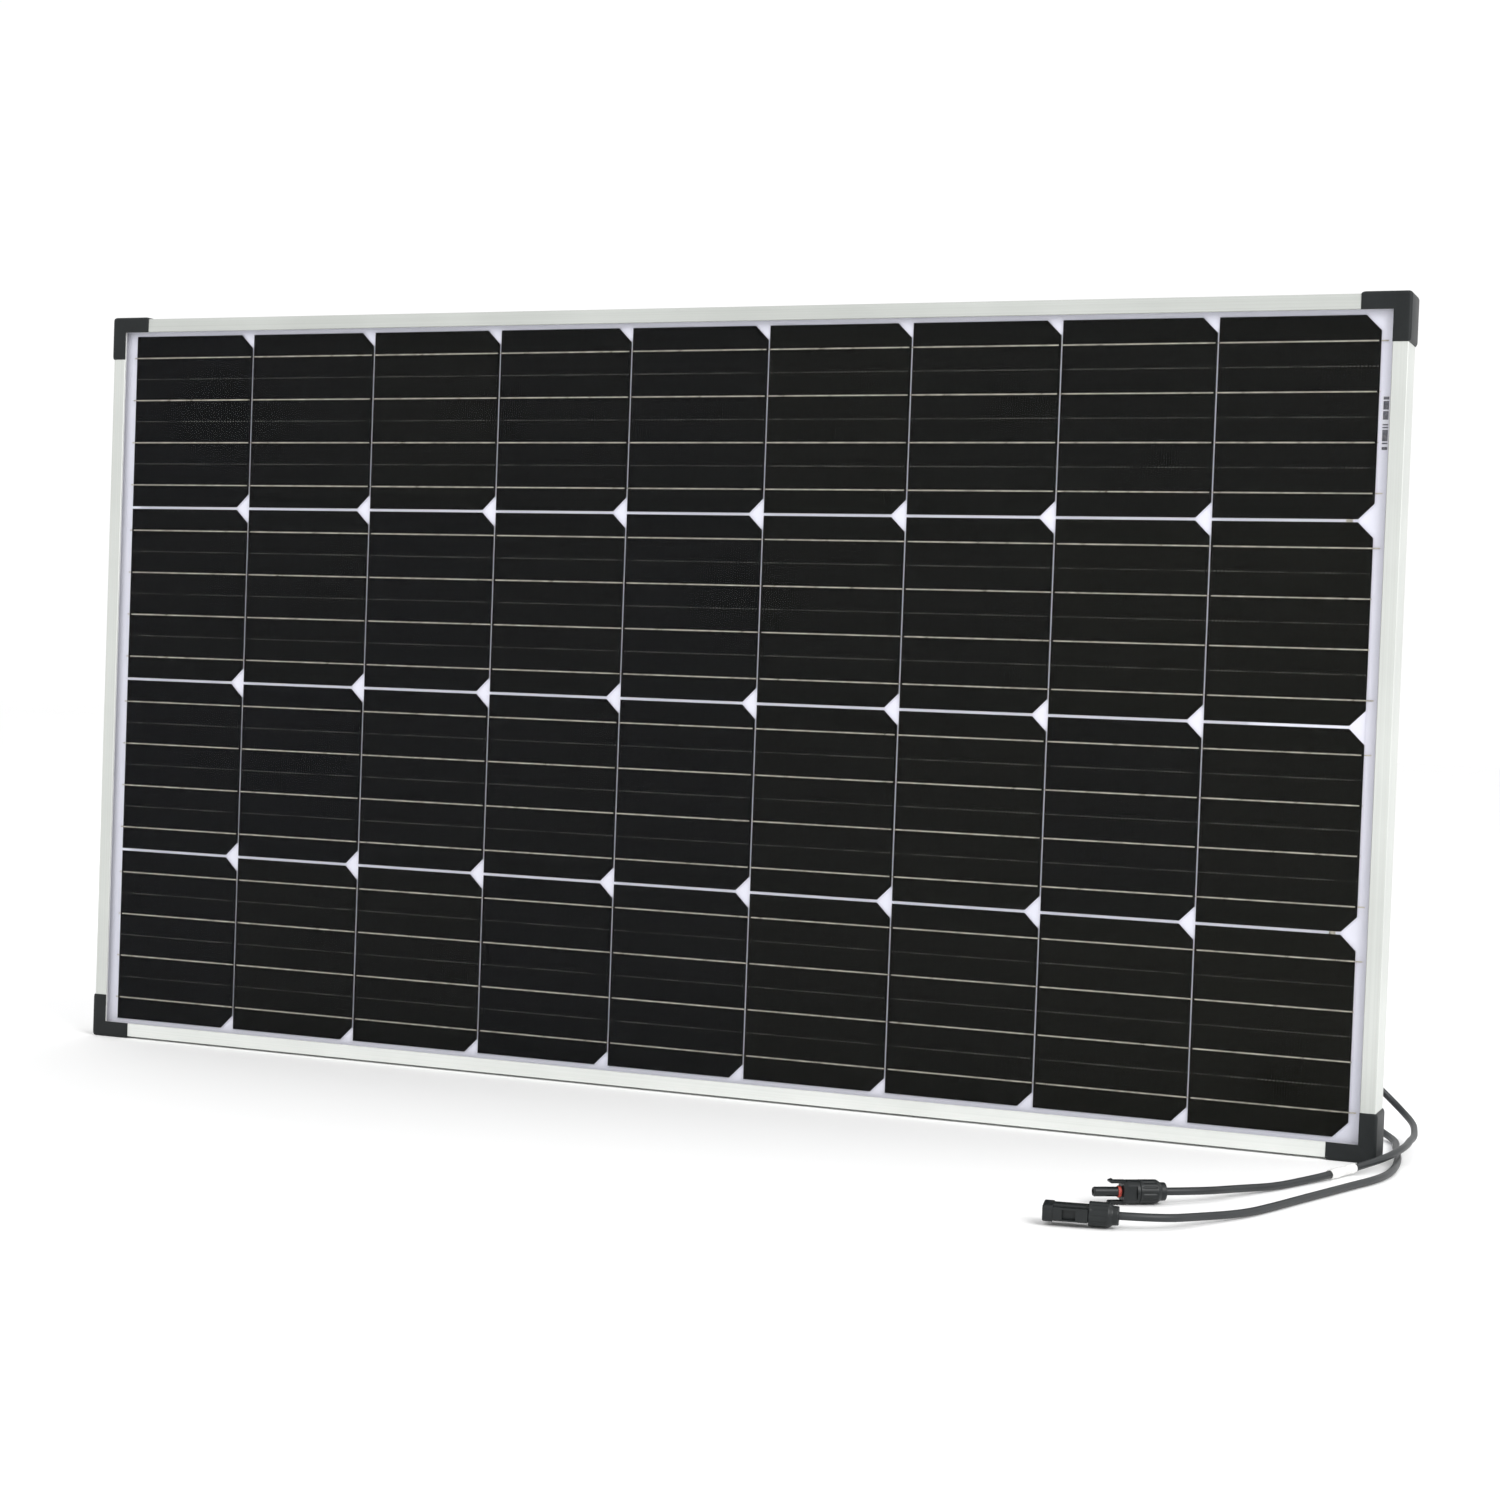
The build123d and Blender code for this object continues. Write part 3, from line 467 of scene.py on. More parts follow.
@dataclass(frozen=True)
class BarStrip(Finish):
    """A white film strip printed with plain bars of chance widths."""

    bar: float = 1.1 * MM
    margin: float = 0.9 * MM
    spaces: float = 0.45
    film: str = "#E4E4EC"
    ink: str = "#3A3944"

    def make(self) -> Material:
        """Each step up the strip is a bar or a space, by chance; the margins stay white."""
        pattern = Pattern(self.name, Roughness=0.5, IOR=1.4)
        low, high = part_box("serial_label")
        x, _, z = pattern.axes()
        step = pattern.math("FLOOR", pattern.math("DIVIDE", z, self.bar))
        chance = add(pattern.tree, "TexWhiteNoise", {"W": step}, noise_dimensions="1D").outputs["Value"]
        printed = pattern.math("GREATER_THAN", chance, self.spaces)
        inside = pattern.between(x, (low[0] + high[0]) / 2, (high[0] - low[0]) / 2 - self.margin)
        fade = pattern.span(pattern.noise(3 * MM), *SHEEN_RANGE, 0.8, 0.95)
        share = pattern.product(printed, inside, fade)
        pattern.drive("Base Color", pattern.blend(share, linear(self.film), linear(self.ink)))
        return pattern.material


@dataclass(frozen=True)
class PrintedLabel(Finish):
    """A silver-white polyester label printed with an empty table: rules and a frame, no words."""

    rule: float = 0.35 * MM
    row: float = 7.0 * MM
    margin: float = 4.0 * MM
    column: float = 62.0 * MM
    ink: str = "#2B2C2E"
    ink_share: float = 0.85

    def make(self) -> Material:
        """A border line, level rules at even steps and one upright rule."""
        pattern = Pattern(self.name, Roughness=0.42, IOR=1.45)
        low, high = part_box("rating_label")
        x, _, z = pattern.axes()

        def field(margin: float) -> Socket:
            """1 on the label within a margin from its edges."""
            across = pattern.between(x, (low[0] + high[0]) / 2, (high[0] - low[0]) / 2 - margin)
            level = pattern.between(z, (low[2] + high[2]) / 2, (high[2] - low[2]) / 2 - margin)
            return pattern.product(across, level)

        core = field(self.margin + self.rule)
        border = pattern.math("SUBTRACT", field(self.margin), core)
        step = pattern.math("PINGPONG", pattern.math("SUBTRACT", z, low[2]), self.row / 2)
        rules = pattern.math("LESS_THAN", step, self.rule / 2)
        upright = pattern.between(x, low[0] + self.column, self.rule / 2)
        lines = pattern.product(pattern.math("MAXIMUM", rules, upright), core)
        share = pattern.product(pattern.math("MAXIMUM", border, lines), self.ink_share)
        paper = pattern.blend(pattern.noise(14 * MM), linear("#BFC2C5"), linear("#CFD1D3"))
        pattern.drive("Base Color", pattern.blend(share, paper, linear(self.ink)))
        return pattern.material


@dataclass(frozen=True)
class PaleFloor(Finish):
    """A matt studio floor."""

    def make(self) -> Material:
        """Barely clouded white."""
        pattern = Pattern(self.name, Roughness=0.9, IOR=1.1)
        cloud = pattern.noise(1.2)
        pattern.drive("Base Color", pattern.blend(cloud, linear("#F9F9F9"), linear("#FCFCFC")))
        return pattern.material


ALUMINIUM = "anodised_aluminium"
# The top bar gets a darker copy of the aluminium as painted shade, and the bottom bar a paler copy as
# painted light: they stand in for light falling differently on the two bars' lips.
BAR_TOP_PAINTED_SHADE = AnodisedAluminium("anodised_aluminium_top_painted_shade", ALUMINIUM, pale="#C6C9C5", grey="#BABDB9")
BAR_BOTTOM_PAINTED_LIGHT = AnodisedAluminium("anodised_aluminium_bottom_painted_light", ALUMINIUM, pale="#EAECE9", grey="#DFE2DE")
BARS_UPRIGHT = AnodisedAluminium("anodised_aluminium_upright", ALUMINIUM, Run.UPRIGHT)
CAP_NYLON = MouldedPlastic(
    "moulded_nylon_cap", "black_nylon", "#131617", "#1C2021", 0.5, 1.0 * MM, 0.05 * MM, 1.34
)
CONNECTOR_NYLON = MouldedPlastic(
    "moulded_nylon_connector", "black_nylon", "#121516", "#1D2122", 0.38, 0.7 * MM, 0.03 * MM
)
BOX_PLASTIC = MouldedPlastic(
    "moulded_box_plastic", "black_box_plastic", "#1B1D1F", "#262A2C", 0.48, 0.9 * MM, 0.06 * MM
)
DIODE_EPOXY = MouldedPlastic("moulded_epoxy", "diode_epoxy", "#161616", "#222222", 0.4, 0.5 * MM, 0.02 * MM)
GLASS = SolarGlass("tempered_solar_glass", "clear_glass")
ENCAPSULANT = CuredEncapsulant("cured_encapsulant", "clear_encapsulant")
SILICON = CoatedSilicon("coated_silicon", "monocrystalline_silicon")
RIBBON = TinnedCopper("tinned_copper_ribbon", "tinned_copper")
FILM = WhiteFilm("white_laminated_film", "white_backsheet")
SEALANT = Elastomer("white_silicone_sealant", "white_sealant", "#D9DAD8", "#E6E6E4", 0.5, 5 * MM)
BLACK_RUBBER = Elastomer("black_rubber", "black_rubber")
RED_RUBBER = Elastomer("red_silicone_rubber", "red_rubber", "#8F2A20", "#B84A3C", 0.45, 1.5 * MM)
BAR_STRIP = BarStrip("printed_bar_strip", "white_label")
LABEL = PrintedLabel("printed_polyester_label", "white_label")
SLEEVE_FILM = Elastomer("white_sleeve_film", "white_label", "#DEDEDC", "#EFEFED", 0.45, 4 * MM)
PIN_STEEL = BareMetal("stainless_steel_pin", "stainless_steel")
TIN_PLATE = BareMetal("tin_plated_copper", "tinned_contact", "#B7B4AC", "#D8D5CC", 0.32)
STRANDS = BareMetal("bare_copper_strands", "copper_strands", "#A0603C", "#C98558", 0.34, 0.6 * MM)
JACKET = CableJacket("cross_linked_jacket", "black_cable_jacket")
FLOOR = PaleFloor("pale_floor", "")


# ---------------------------------------------------------------- surfaces


def linked(name: str, data: bpy.types.ID) -> Piece:
    """A new object of a mesh, curve, camera or light, put into the scene."""
    made = bpy.data.objects.new(name, data)
    bpy.context.collection.objects.link(made)
    return made


def grid_piece(
    name: str, points: np.ndarray, wrap: tuple[bool, bool], crease: float = 40.0, ends: bool = False
) -> Piece:
    """A mesh over a grid of points, with its faces turned outwards.

    The face at row i and column j joins points (i, j), (i+1, j), (i+1, j+1) and (i, j+1).

    Args:
        name: The piece's name.
        points: Rows by columns by 3, in metres.
        wrap: Whether the last row joins the first, and the last column the first.
        crease: Edges that turn by more than this many degrees stay sharp.
        ends: Whether one face closes the first row, and one the last.

    Returns:
        The piece, at the origin, with its place in its mesh.
    """
    rows, columns, _ = points.shape
    row_steps, column_steps = rows - (not wrap[0]), columns - (not wrap[1])
    i, j = np.meshgrid(np.arange(row_steps), np.arange(column_steps), indexing="ij")
    down, right = (i + 1) % rows, (j + 1) % columns
    near, far = i * columns, down * columns
    faces = np.stack([near + j, far + j, far + right, near + right], -1).reshape(-1, 4)
    flat = points.reshape(-1, 3)
    a, b, c, d = (flat[faces[:, k]] for k in range(4))
    volume = (a * (np.cross(b, c) + np.cross(c, d))).sum()
    loops = faces.tolist()
    if ends:
        loops += [list(range(columns)), list(range(rows * columns - 1, (rows - 1) * columns - 1, -1))]
    if volume < 0:
        loops = [loop[::-1] for loop in loops]
    mesh = bpy.data.meshes.new(name)
    mesh.from_pydata(flat.tolist(), [], loops)
    mesh.polygons.foreach_set("use_smooth", np.ones(len(loops), dtype=bool))
    mesh.set_sharp_from_angle(angle=math.radians(crease))
    mesh.update()
    return linked(name, mesh)


def distances(line: np.ndarray) -> np.ndarray:
    """How far along a line each of its points lies, in its own units."""
    return np.concatenate([[0], np.cumsum(np.linalg.norm(np.diff(line, axis=0), axis=1))])


def drawn_along_x(name: str, section: np.ndarray, start: float, end: float, steps: int) -> Piece:
    """A closed body of one section, of height and depth, carried along X.

    Args:
        name: The piece's name.
        section: The section's points: Z and Y, in metres.
        start: The X of its first row.
        end: The X of its last row.
        steps: How many rows there are.

    Returns:
        The piece.
    """
    height, depth = section.T
    along = np.linspace(start, end, steps)[:, None]
    points = np.stack(np.broadcast_arrays(along, depth, height), -1)
    return grid_piece(name, points, (False, True), ends=True)


def rectangle(middle: float, half_x: float, half_z: float) -> Outline:
    """A rectangle's corners, as X and Z, round a middle at the panel's mid height."""
    signs = ((-1, -1), (1, -1), (1, 1), (-1, 1))
    return [(middle + x * half_x, CENTRE_Z + z * half_z) for x, z in signs]


def across_line(line: np.ndarray) -> tuple[np.ndarray, np.ndarray]:
    """Two unit directions across a line at each of its points, which do not twist.

    The first across is the direction least along the line, with its part along the line
    taken away at every point; the second is the cross product of the two.

    Args:
        line: Points by 3.

    Returns:
        The first across and the second, each points by 3.
    """
    along = np.gradient(line, axis=0)
    along /= np.linalg.norm(along, axis=1, keepdims=True)
    start = np.eye(3)[np.argmin(np.abs(along).max(axis=0))]
    first = start - along * (along @ start)[:, None]
    first /= np.linalg.norm(first, axis=1, keepdims=True)
    return first, np.cross(along, first)


def turned_ring(
    name: str,
    line: np.ndarray,
    outline: np.ndarray,
    sides: int,
    relief: Callable[[np.ndarray, np.ndarray, np.ndarray], np.ndarray],
) -> Piece:
    """A ring turned round a line: a closed outline of distance and radius, carried round.

    A point is the line's point at that distance, plus the radius times the cosine of the turn
    in the first direction across and its sine in the second.

    Args:
        name: The piece's name.
        line: The axis, points by 3, in metres.
        outline: Pairs of distance along the line and radius, closed, in metres.
        sides: Steps in a full turn.
        relief: Gives the radius anew from the turn, the distance and the radius.

    Returns:
        The piece.
    """
    steps = distances(line)
    first, second = across_line(line)
    distance, radius = outline.T
    middle, across, other = (
        np.stack([np.interp(distance, steps, part[:, k]) for k in range(3)], -1)
        for part in (line, first, second)
    )
    turn = np.linspace(0, 2 * math.pi, sides, endpoint=False)[:, None]
    reach = relief(turn, distance[None, :], np.broadcast_to(radius, (sides, len(radius))))
    spoke = np.cos(turn)[..., None] * across[None] + np.sin(turn)[..., None] * other[None]
    return grid_piece(name, middle + reach[..., None] * spoke, (True, True))


def rounded(corners: Outline, radius: float, steps: int = 4) -> np.ndarray:
    """A closed outline with each corner cut by a curve that leaves it a radius away.

    Each curve is a quadratic: the corner pulls the line between two points on its sides. On a
    short side it starts at most 0.45 of the side away, so that two curves never meet.

    Args:
        corners: The outline's corners.
        radius: How far from a corner its curve starts.
        steps: Points on each curve.

    Returns:
        The outline's points.
    """
    ring = np.asarray(corners, dtype=float)
    start, end = (
        ring + side * np.minimum(radius / np.linalg.norm(side, axis=1), 0.45)[:, None]
        for side in (np.roll(ring, 1, axis=0) - ring, np.roll(ring, -1, axis=0) - ring)
    )
    t = np.linspace(0, 1, steps)[None, :, None]
    curve = (1 - t) ** 2 * start[:, None] + 2 * t * (1 - t) * ring[:, None] + t**2 * end[:, None]
    return curve.reshape(-1, 2)


def bead(
    name: str, corners: Outline, across: np.ndarray, seed: int, bend: float = 3 * MM, step: float = 4 * MM
) -> Piece:
    """A bead of sealant carried round a closed path on the backsheet.

    The path is a rectangle with rounded corners; at each step the outline's first number goes
    outwards from the path and its second out of the back. Six slow sine waves swell the bead.

    Args:
        name: The piece's name.
        corners: The path's corners, as X and Z, in metres.
        across: The bead's closed outline: outwards, and out of the back.
        seed: Picks the waves.
        bend: How far from a corner the path starts to bend.
        step: The distance between two places on the path.

    Returns:
        The piece.
    """
    path = rounded(corners, bend, 5)
    closed = np.vstack([path, path[:1]])
    steps = distances(closed)
    count = max(int(steps[-1] / step), 64)
    at = np.linspace(0, steps[-1], count, endpoint=False)
    line = np.stack([np.interp(at, steps, closed[:, k]) for k in range(2)], -1)
    ahead = np.roll(line, -1, axis=0) - np.roll(line, 1, axis=0)
    ahead /= np.linalg.norm(ahead, axis=1, keepdims=True)
    outward = np.stack([ahead[:, 1], -ahead[:, 0]], -1)
    outward *= np.sign((outward * (line - line.mean(axis=0))).sum())
    chance = np.random.default_rng(seed)
    waves, swell_each = 6, 0.09
    turns = 2 * math.pi * at[:, None] / steps[-1] * chance.integers(9, 70, waves)
    swell = 1 + swell_each * np.sin(turns + chance.uniform(0, 6, waves)).sum(axis=1)
    out = across[None, :, 0] * swell[:, None]
    points = np.empty((count, len(across), 3))
    points[..., 0] = line[:, :1] + outward[:, :1] * out
    points[..., 1] = BACKSHEET_BACK + across[None, :, 1] * np.sqrt(swell)[:, None]
    points[..., 2] = line[:, 1:] + outward[:, 1:] * out
    return grid_piece(name, points, (True, True), 70)


# ---------------------------------------------------------------- the studio


@dataclass(frozen=True)
class SoftLight:
    """One square soft light: where it stands and the point it faces, its side and its power."""

    name: str
    place: Point
    aim: Point
    side: float
    watts: float

    def build(self) -> None:
        """Hangs the light."""
        data = bpy.data.lights.new(self.name, "AREA")
        data.size = self.side
        data.energy = self.watts
        lamp = linked(self.name, data)
        lamp.location = self.place
        lamp.rotation_euler = (Vector(self.aim) - Vector(self.place)).to_track_quat("-Z", "Y").to_euler()


@dataclass
class Studio:
    """The camera, the soft lights and the pale floor."""

    eye: Point = (0.89641, -2.06904, 0.35403)
    forward: Point = (-0.37679, 0.92592, -0.02651)
    right: Point = (0.92527, 0.37757, 0.03641)
    lens: float = 63.336
    sensor: float = 36.0
    far_clip: float = 60.0
    surround: float = 1.04
    key: SoftLight = SoftLight("key", (3.4, -1.9, 2.6), (0.2, 0, 0.3), 2.4, 110)
    back: SoftLight = SoftLight("back", (-2.0, 3.0, 2.8), (0, 0, 0.2), 3.0, 8)
    floor_half: float = 14.0
    floor_drop: float = 0.02 * MM

    def place_camera(self) -> None:
        """Puts the camera in front, to the right of the middle and at mid height."""
        data = bpy.data.cameras.new("camera")
        data.lens = self.lens
        data.sensor_width = self.sensor
        data.clip_end = self.far_clip
        camera = linked("camera", data)
        forward = Vector(self.forward).normalized()
        right = Vector(self.right)
        right = (right - forward * right.dot(forward)).normalized()
        up = right.cross(forward)
        turn = Matrix((right, up, -forward)).transposed()
        camera.matrix_world = Matrix.Translation(self.eye) @ turn.to_4x4()
        bpy.context.scene.camera = camera

    def light(self) -> None:
        """A white surround, a broad key light from the right and a weak one from behind."""
        world = bpy.data.worlds.new("white_surround")
        world.use_nodes = True
        ground = world.node_tree.nodes["Background"]
        ground.inputs["Color"].default_value = linear("#FFFFFF")
        ground.inputs["Strength"].default_value = self.surround
        bpy.context.scene.world = world
        self.key.build()
        self.back.build()
        bpy.context.scene.view_settings.view_transform = "Standard"

    def lay_floor(self) -> None:
        """The floor, a little below the panel's feet."""
        ends = (-self.floor_half, self.floor_half)
        points = np.array([[(x, y, -self.floor_drop) for x in ends] for y in ends])
        floor = grid_piece("floor", points, (False, False))
        floor.data.materials.append(FLOOR.build())


# ---------------------------------------------------------------- the leads


@dataclass
class Lead:
    """One lead: its route, in millimetres, its length, in metres, and what is on it."""

    name: str
    cad: str
    length: float
    route: Sequence[Point]
    with_pieces: tuple[str, ...]

    def lay(self) -> Piece:
        """Lays the cable as one smooth line that the route's points pull."""
        data = bpy.data.curves.new(self.name, "CURVE")
        data.dimensions = "3D"
        spline = data.splines.new("NURBS")
        spline.points.add(len(self.route) - 1)
        points = np.c_[np.array(self.route) * MM, np.ones(len(self.route))]
        spline.points.foreach_set("co", points.ravel())
        spline.order_u = 3
        spline.use_endpoint_u = True
        spline.resolution_u = 10
        return linked(self.name, data)

    def line(self, cable: Piece) -> np.ndarray:
        """The points of the cable's own line, read before it is given a thickness."""
        bpy.context.view_layer.update()
        mesh = bpy.data.meshes.new_from_object(cable)
        points = np.empty(len(mesh.vertices) * 3)
        mesh.vertices.foreach_get("co", points)
        bpy.data.meshes.remove(mesh)
        return points.reshape(-1, 3)

    def thicken(self, cable: Piece) -> None:
        """Gives the cable its round section, its jacket and its place on the panel."""
        cable.data.bevel_depth = CABLE_RADIUS
        cable.data.bevel_resolution = 5
        cable.data.use_fill_caps = True
        JACKET.cover(cable, "panel")
        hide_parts(self.cad)


@dataclass
class SleeveLabel:
    """The blank white sleeve shrunk round the plug's lead."""

    length: float = 33 * MM
    shift: float = 8 * MM
    inner: float = 2.95 * MM
    wall: float = 0.7 * MM
    swell: float = 0.22 * MM
    steps: int = 40
    sides: int = 36

    def build(self, line: np.ndarray) -> Piece:
        """A thin tube that follows the cable, slack in a few places.

        It lies a little nearer the plug than its plain stand-in does.

        Args:
            line: The cable's line.

        Returns:
            The sleeve.
        """
        low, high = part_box("cable_sleeve_label")
        middle = np.array((low + high) / 2)
        centre = distances(line)[np.argmin(np.linalg.norm(line - middle, axis=1))] + self.shift
        start, end = centre - self.length / 2, centre + self.length / 2
        along = np.linspace(start, end, self.steps)
        outer = np.stack([along, np.full(self.steps, self.inner + self.wall)], -1)
        inner = np.stack([along[::-1], np.full(self.steps, self.inner)], -1)

        def slack(turn: np.ndarray, distance: np.ndarray, radius: np.ndarray) -> np.ndarray:
            """Adds slow sine waves along and round the outside."""
            share = (distance - start) / (end - start)
            wave = np.sin(2 * turn + 9 * share) * np.sin(math.pi * share) + 0.6 * np.sin(31 * share + turn)
            return radius + np.where(radius > self.inner + self.wall / 2, self.swell * wave, 0)

        sleeve = turned_ring("cable_sleeve", line, np.vstack([outer, inner]), self.sides, slack)
        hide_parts("cable_sleeve_label")
        return SLEEVE_FILM.cover(sleeve, "panel")


@dataclass
class GlandNut:
    """A ribbed gland nut, turned about its axis from its cable end to its open end."""

    name: str
    cad: str
    body: str
    start: Point
    along: Point
    length: float
    nose: tuple[tuple[float, float], ...]
    bore: float
    bore_depth: float
    edge: float = 0.7 * MM
    ribs: int = 12
    rib_depth: float = 0.6 * MM
    rib_margin: float = 0.8 * MM
    rib_steps: int = 16
    fade: float = 1.2 * MM
    sides: int = 144

    def build(self) -> Piece:
        """Turns the nut: rounded edges outside, a stepped bore inside, rounded ribs round it."""
        length = self.length
        rib_start, radius = self.nose[-1]
        seat = length - self.bore_depth
        inside = ((length, self.bore), (seat, self.bore), (seat, CABLE_HOLE))
        outline = rounded([(0, CABLE_HOLE), *self.nose, (length, radius), *inside], self.edge)
        last = length - self.rib_margin
        ribs = np.linspace(rib_start + self.rib_margin, last, self.rib_steps)
        cut = int(np.argmax((outline[:, 0] > last) & (outline[:, 1] > 0.98 * radius)))
        filled = np.insert(outline, cut, np.stack([ribs, np.full(self.rib_steps, radius)], -1), axis=0)

        def ribbed(turn: np.ndarray, distance: np.ndarray, reach: np.ndarray) -> np.ndarray:
            """Cuts rounded grooves: a cosine of the turn raised to a power, faded at both ends."""
            groove = (0.5 + 0.5 * np.cos(self.ribs * turn)) ** 3
            rise = np.clip((distance - rib_start) / self.fade - 0.5, 0, 1)
            fall = np.clip((length - distance) / self.fade - 1, 0, 1)
            return reach - np.where(reach > 0.9 * radius, self.rib_depth * groove * rise * fall, 0)

        line = np.array(self.start) + np.linspace(0, length, 12)[:, None] * np.array(self.along)
        nut = turned_ring(self.name, line, filled, self.sides, ribbed)
        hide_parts(self.cad)
        return CONNECTOR_NYLON.cover(nut, self.body)


@dataclass
class Leads:
    """Both leads, the sleeve and the connectors at their ends."""

    plug_rear: Point = (0.4849, -0.2634, 0.009)
    plug_along: Point = (-0.840436, -0.541910, 0.0)
    socket_rear: Point = (0.4784, -0.3654, 0.009)
    socket_along: Point = (-0.985821, -0.167799, 0.0)

    def leads(self) -> list[Lead]:
        """The two leads with their routes."""
        positive = [
            (446, 0, 358.3), (404, 0, 358.3), (367, 3, 348), (345, 10, 318), (345, 20, 281), (363, 32, 248),
            (391, 46, 219), (418, 58, 191), (446, 73, 164), (473, 86, 135), (501, 101, 107), (529, 113, 78),
            (555, 125, 52), (577, 131, 32), (592, 124, 20), (602, 107, 14.5), (606, 84, 12), (609, 60, 11.5),
            (609, 37, 12), (610, 17, 12), (609, -6, 12), (603, -31, 9.5), (589, -60, 6), (571, -104, 4),
            (557, -136, 3.2), (543, -170, 3.2), (525, -204, 5.5), (505.91, -249.85, 9), (470.61, -272.61, 9),
        ]
        negative = [
            (446, 0, 310.3), (408, 0, 310.3), (376, 4, 298), (359, 11, 268), (364, 21, 236), (384, 34, 207),
            (409, 47, 178), (436, 63, 149), (463, 78, 121), (490, 91, 91), (516, 100, 61), (541, 109, 33),
            (563, 113, 13), (583, 102, 4), (593, 79, 3.2), (596, 54, 3.2), (601, 28, 3.2), (606, 0, 3.2),
            (609, -30, 3.2), (610, -64, 3.2), (605, -97, 3.2), (593, -132, 3.2), (581, -170, 3.2),
            (569, -207, 3.2), (558, -243, 3.2), (545, -281, 3.4), (525, -318, 5.5), (503.05, -361.20, 9),
            (461.64, -368.25, 9),
        ]
        arms = ("plug_latch_arm_upper", "plug_latch_arm_lower")
        plug = ("cable_sleeve", "plug_body", "plug_seal_ring", *arms, "plug_nut")
        return [
            Lead("lead_positive", "cable_positive", 0.972, positive, plug),
            Lead("lead_negative", "cable_negative", 1.001, negative, ("socket_body", "socket_nut")),
        ]

    def nuts(self) -> list[GlandNut]:
        """The nuts on the two connectors."""
        nose = ((0, 6.3 * MM), (4.0 * MM, 6.5 * MM), (6.5 * MM, 8.4 * MM))
        size = {"length": 19.8 * MM, "nose": nose, "bore": 6.35 * MM, "bore_depth": 16.7 * MM}
        ends = {"plug": (self.plug_rear, self.plug_along), "socket": (self.socket_rear, self.socket_along)}
        return [
            GlandNut(f"{name}_nut", f"{name}_gland_nut", f"{name}_gland_nut", rear, along, **size)
            for name, (rear, along) in ends.items()
        ]

    def build(self) -> None:
        """Dresses the connectors and lays both leads."""
        for nut in self.nuts():
            nut.build()
        CONNECTOR_NYLON.dress("plug_body", "plug_latch_arm_upper", "plug_latch_arm_lower", "socket_body")
        RED_RUBBER.dress("plug_seal_ring")
        BLACK_RUBBER.dress("plug_cable_seal", "socket_cable_seal")
        TIN_PLATE.dress("plug_contact", "socket_contact")
        for lead in self.leads():
            cable = lead.lay()
            if "cable_sleeve" in lead.with_pieces:
                SleeveLabel().build(lead.line(cable))
            lead.thicken(cable)


# ---------------------------------------------------------------- the panel


@dataclass
class CornerCap:
    """A moulded cap that wraps one corner of the frame: a U section carried round a mitre."""

    level: str
    side: str
    half_width: float = 590 * MM
    half_height: float = 332.5 * MM
    half_depth: float = 17.5 * MM
    wall: float = 1.8 * MM
    face: float = 1.2 * MM
    leg: float = 37 * MM
    band: float = 12.2 * MM
    fall: float = 0.85
    edge: float = 2.6 * MM
    corner: float = 3.0 * MM
    wall_end: float = 3.5 * MM
    face_end: float = 1.4 * MM
    end_rise: float = 0.12
    spread: float = 0.5 * MM

    def section(self) -> np.ndarray:
        """The closed section, as distance inwards from the frame's outside and depth.

        The front falls away from the outer edge by a parabola, and loses a share of its height
        by the inner edge. A quarter circle joins it to the wall, and the back mirrors the front.
        """
        start = self.edge - self.wall
        inward = np.linspace(self.band, start, 10)
        share = (inward - start) / (self.band - start)
        face = np.stack([inward, -self.half_depth - self.face * (1 - self.fall * share**2)], -1)
        inner = np.array([[self.band + 0.01 * MM, -self.half_depth - 0.1 * self.face]])
        turn = np.linspace(0, math.pi / 2, 7)[1:]
        middle = -self.half_depth - self.face + self.edge
        bend = np.stack([start - self.edge * np.sin(turn), middle - self.edge * np.cos(turn)], -1)
        front = np.vstack([inner, face, bend])
        back = front[::-1] * (1, -1)
        depth = self.half_depth
        inside = [(self.band, depth), (0, depth), (0, -depth), (self.band, -depth)]
        return np.vstack([front, back, inside])

    def leg_rows(self, section: np.ndarray) -> np.ndarray:
        """The section at steps from a leg's end towards the corner.

        What stands proud of the frame is scaled by a quarter ellipse near the leg's end.
        """
        depth = self.half_depth
        base = np.stack([np.maximum(section[:, 0], 0), np.clip(section[:, 1], -depth, depth)], -1)
        steps = self.wall_end * (1 - np.cos(np.linspace(0, math.pi / 2, 9)))
        rises = [
            np.maximum(np.sqrt(1 - (1 - np.minimum(steps / end, 1)) ** 2), self.end_rise)
            for end in (self.wall_end, self.face_end)
        ]
        proud = base[None] + (section - base)[None] * np.stack(rises, -1)[:, None, :]
        along = np.broadcast_to((self.leg - steps)[:, None, None], (*proud.shape[:2], 1))
        return np.concatenate([along, proud], axis=-1)

    def corner_rows(self, section: np.ndarray) -> np.ndarray:
        """The section at steps round the corner, from one leg to the other.

        A point nearer the outside than the corner's radius goes round an arc, and one further
        in turns on the mitre; a small spread keeps the steps apart there.
        """
        step = np.linspace(-1, 1, 7)[:, None]
        inward = section[None, :, 0]
        radius = np.maximum(self.corner - self.wall - inward, 0)
        turn = (step + 1) * math.pi / 4
        first = inward + radius * (1 - np.sin(turn)) + self.spread * np.maximum(-step, 0)
        second = inward + radius * (1 - np.cos(turn)) + self.spread * np.maximum(step, 0)
        return np.stack([first, second, np.broadcast_to(section[None, :, 1], first.shape)], -1)

    def build(self) -> None:
        """Carries the section along one leg, round the corner and along the other."""
        section = self.section()
        near = self.leg_rows(section)
        far = near[::-1][..., [1, 0, 2]]
        rows = np.concatenate([near, self.corner_rows(section), far])
        side_x = 1 if self.side == "right" else -1
        side_z = 1 if self.level == "top" else -1
        points = np.empty_like(rows)
        points[..., 0] = side_x * (self.half_width - rows[..., 0])
        points[..., 1] = rows[..., 2]
        points[..., 2] = CENTRE_Z + side_z * (self.half_height - rows[..., 1])
        cap = grid_piece(f"cap_{self.level}_{self.side}", points, (False, True), 32, ends=True)
        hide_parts(f"corner_cap_{self.level}_{self.side}")
        CAP_NYLON.cover(cap, "panel")


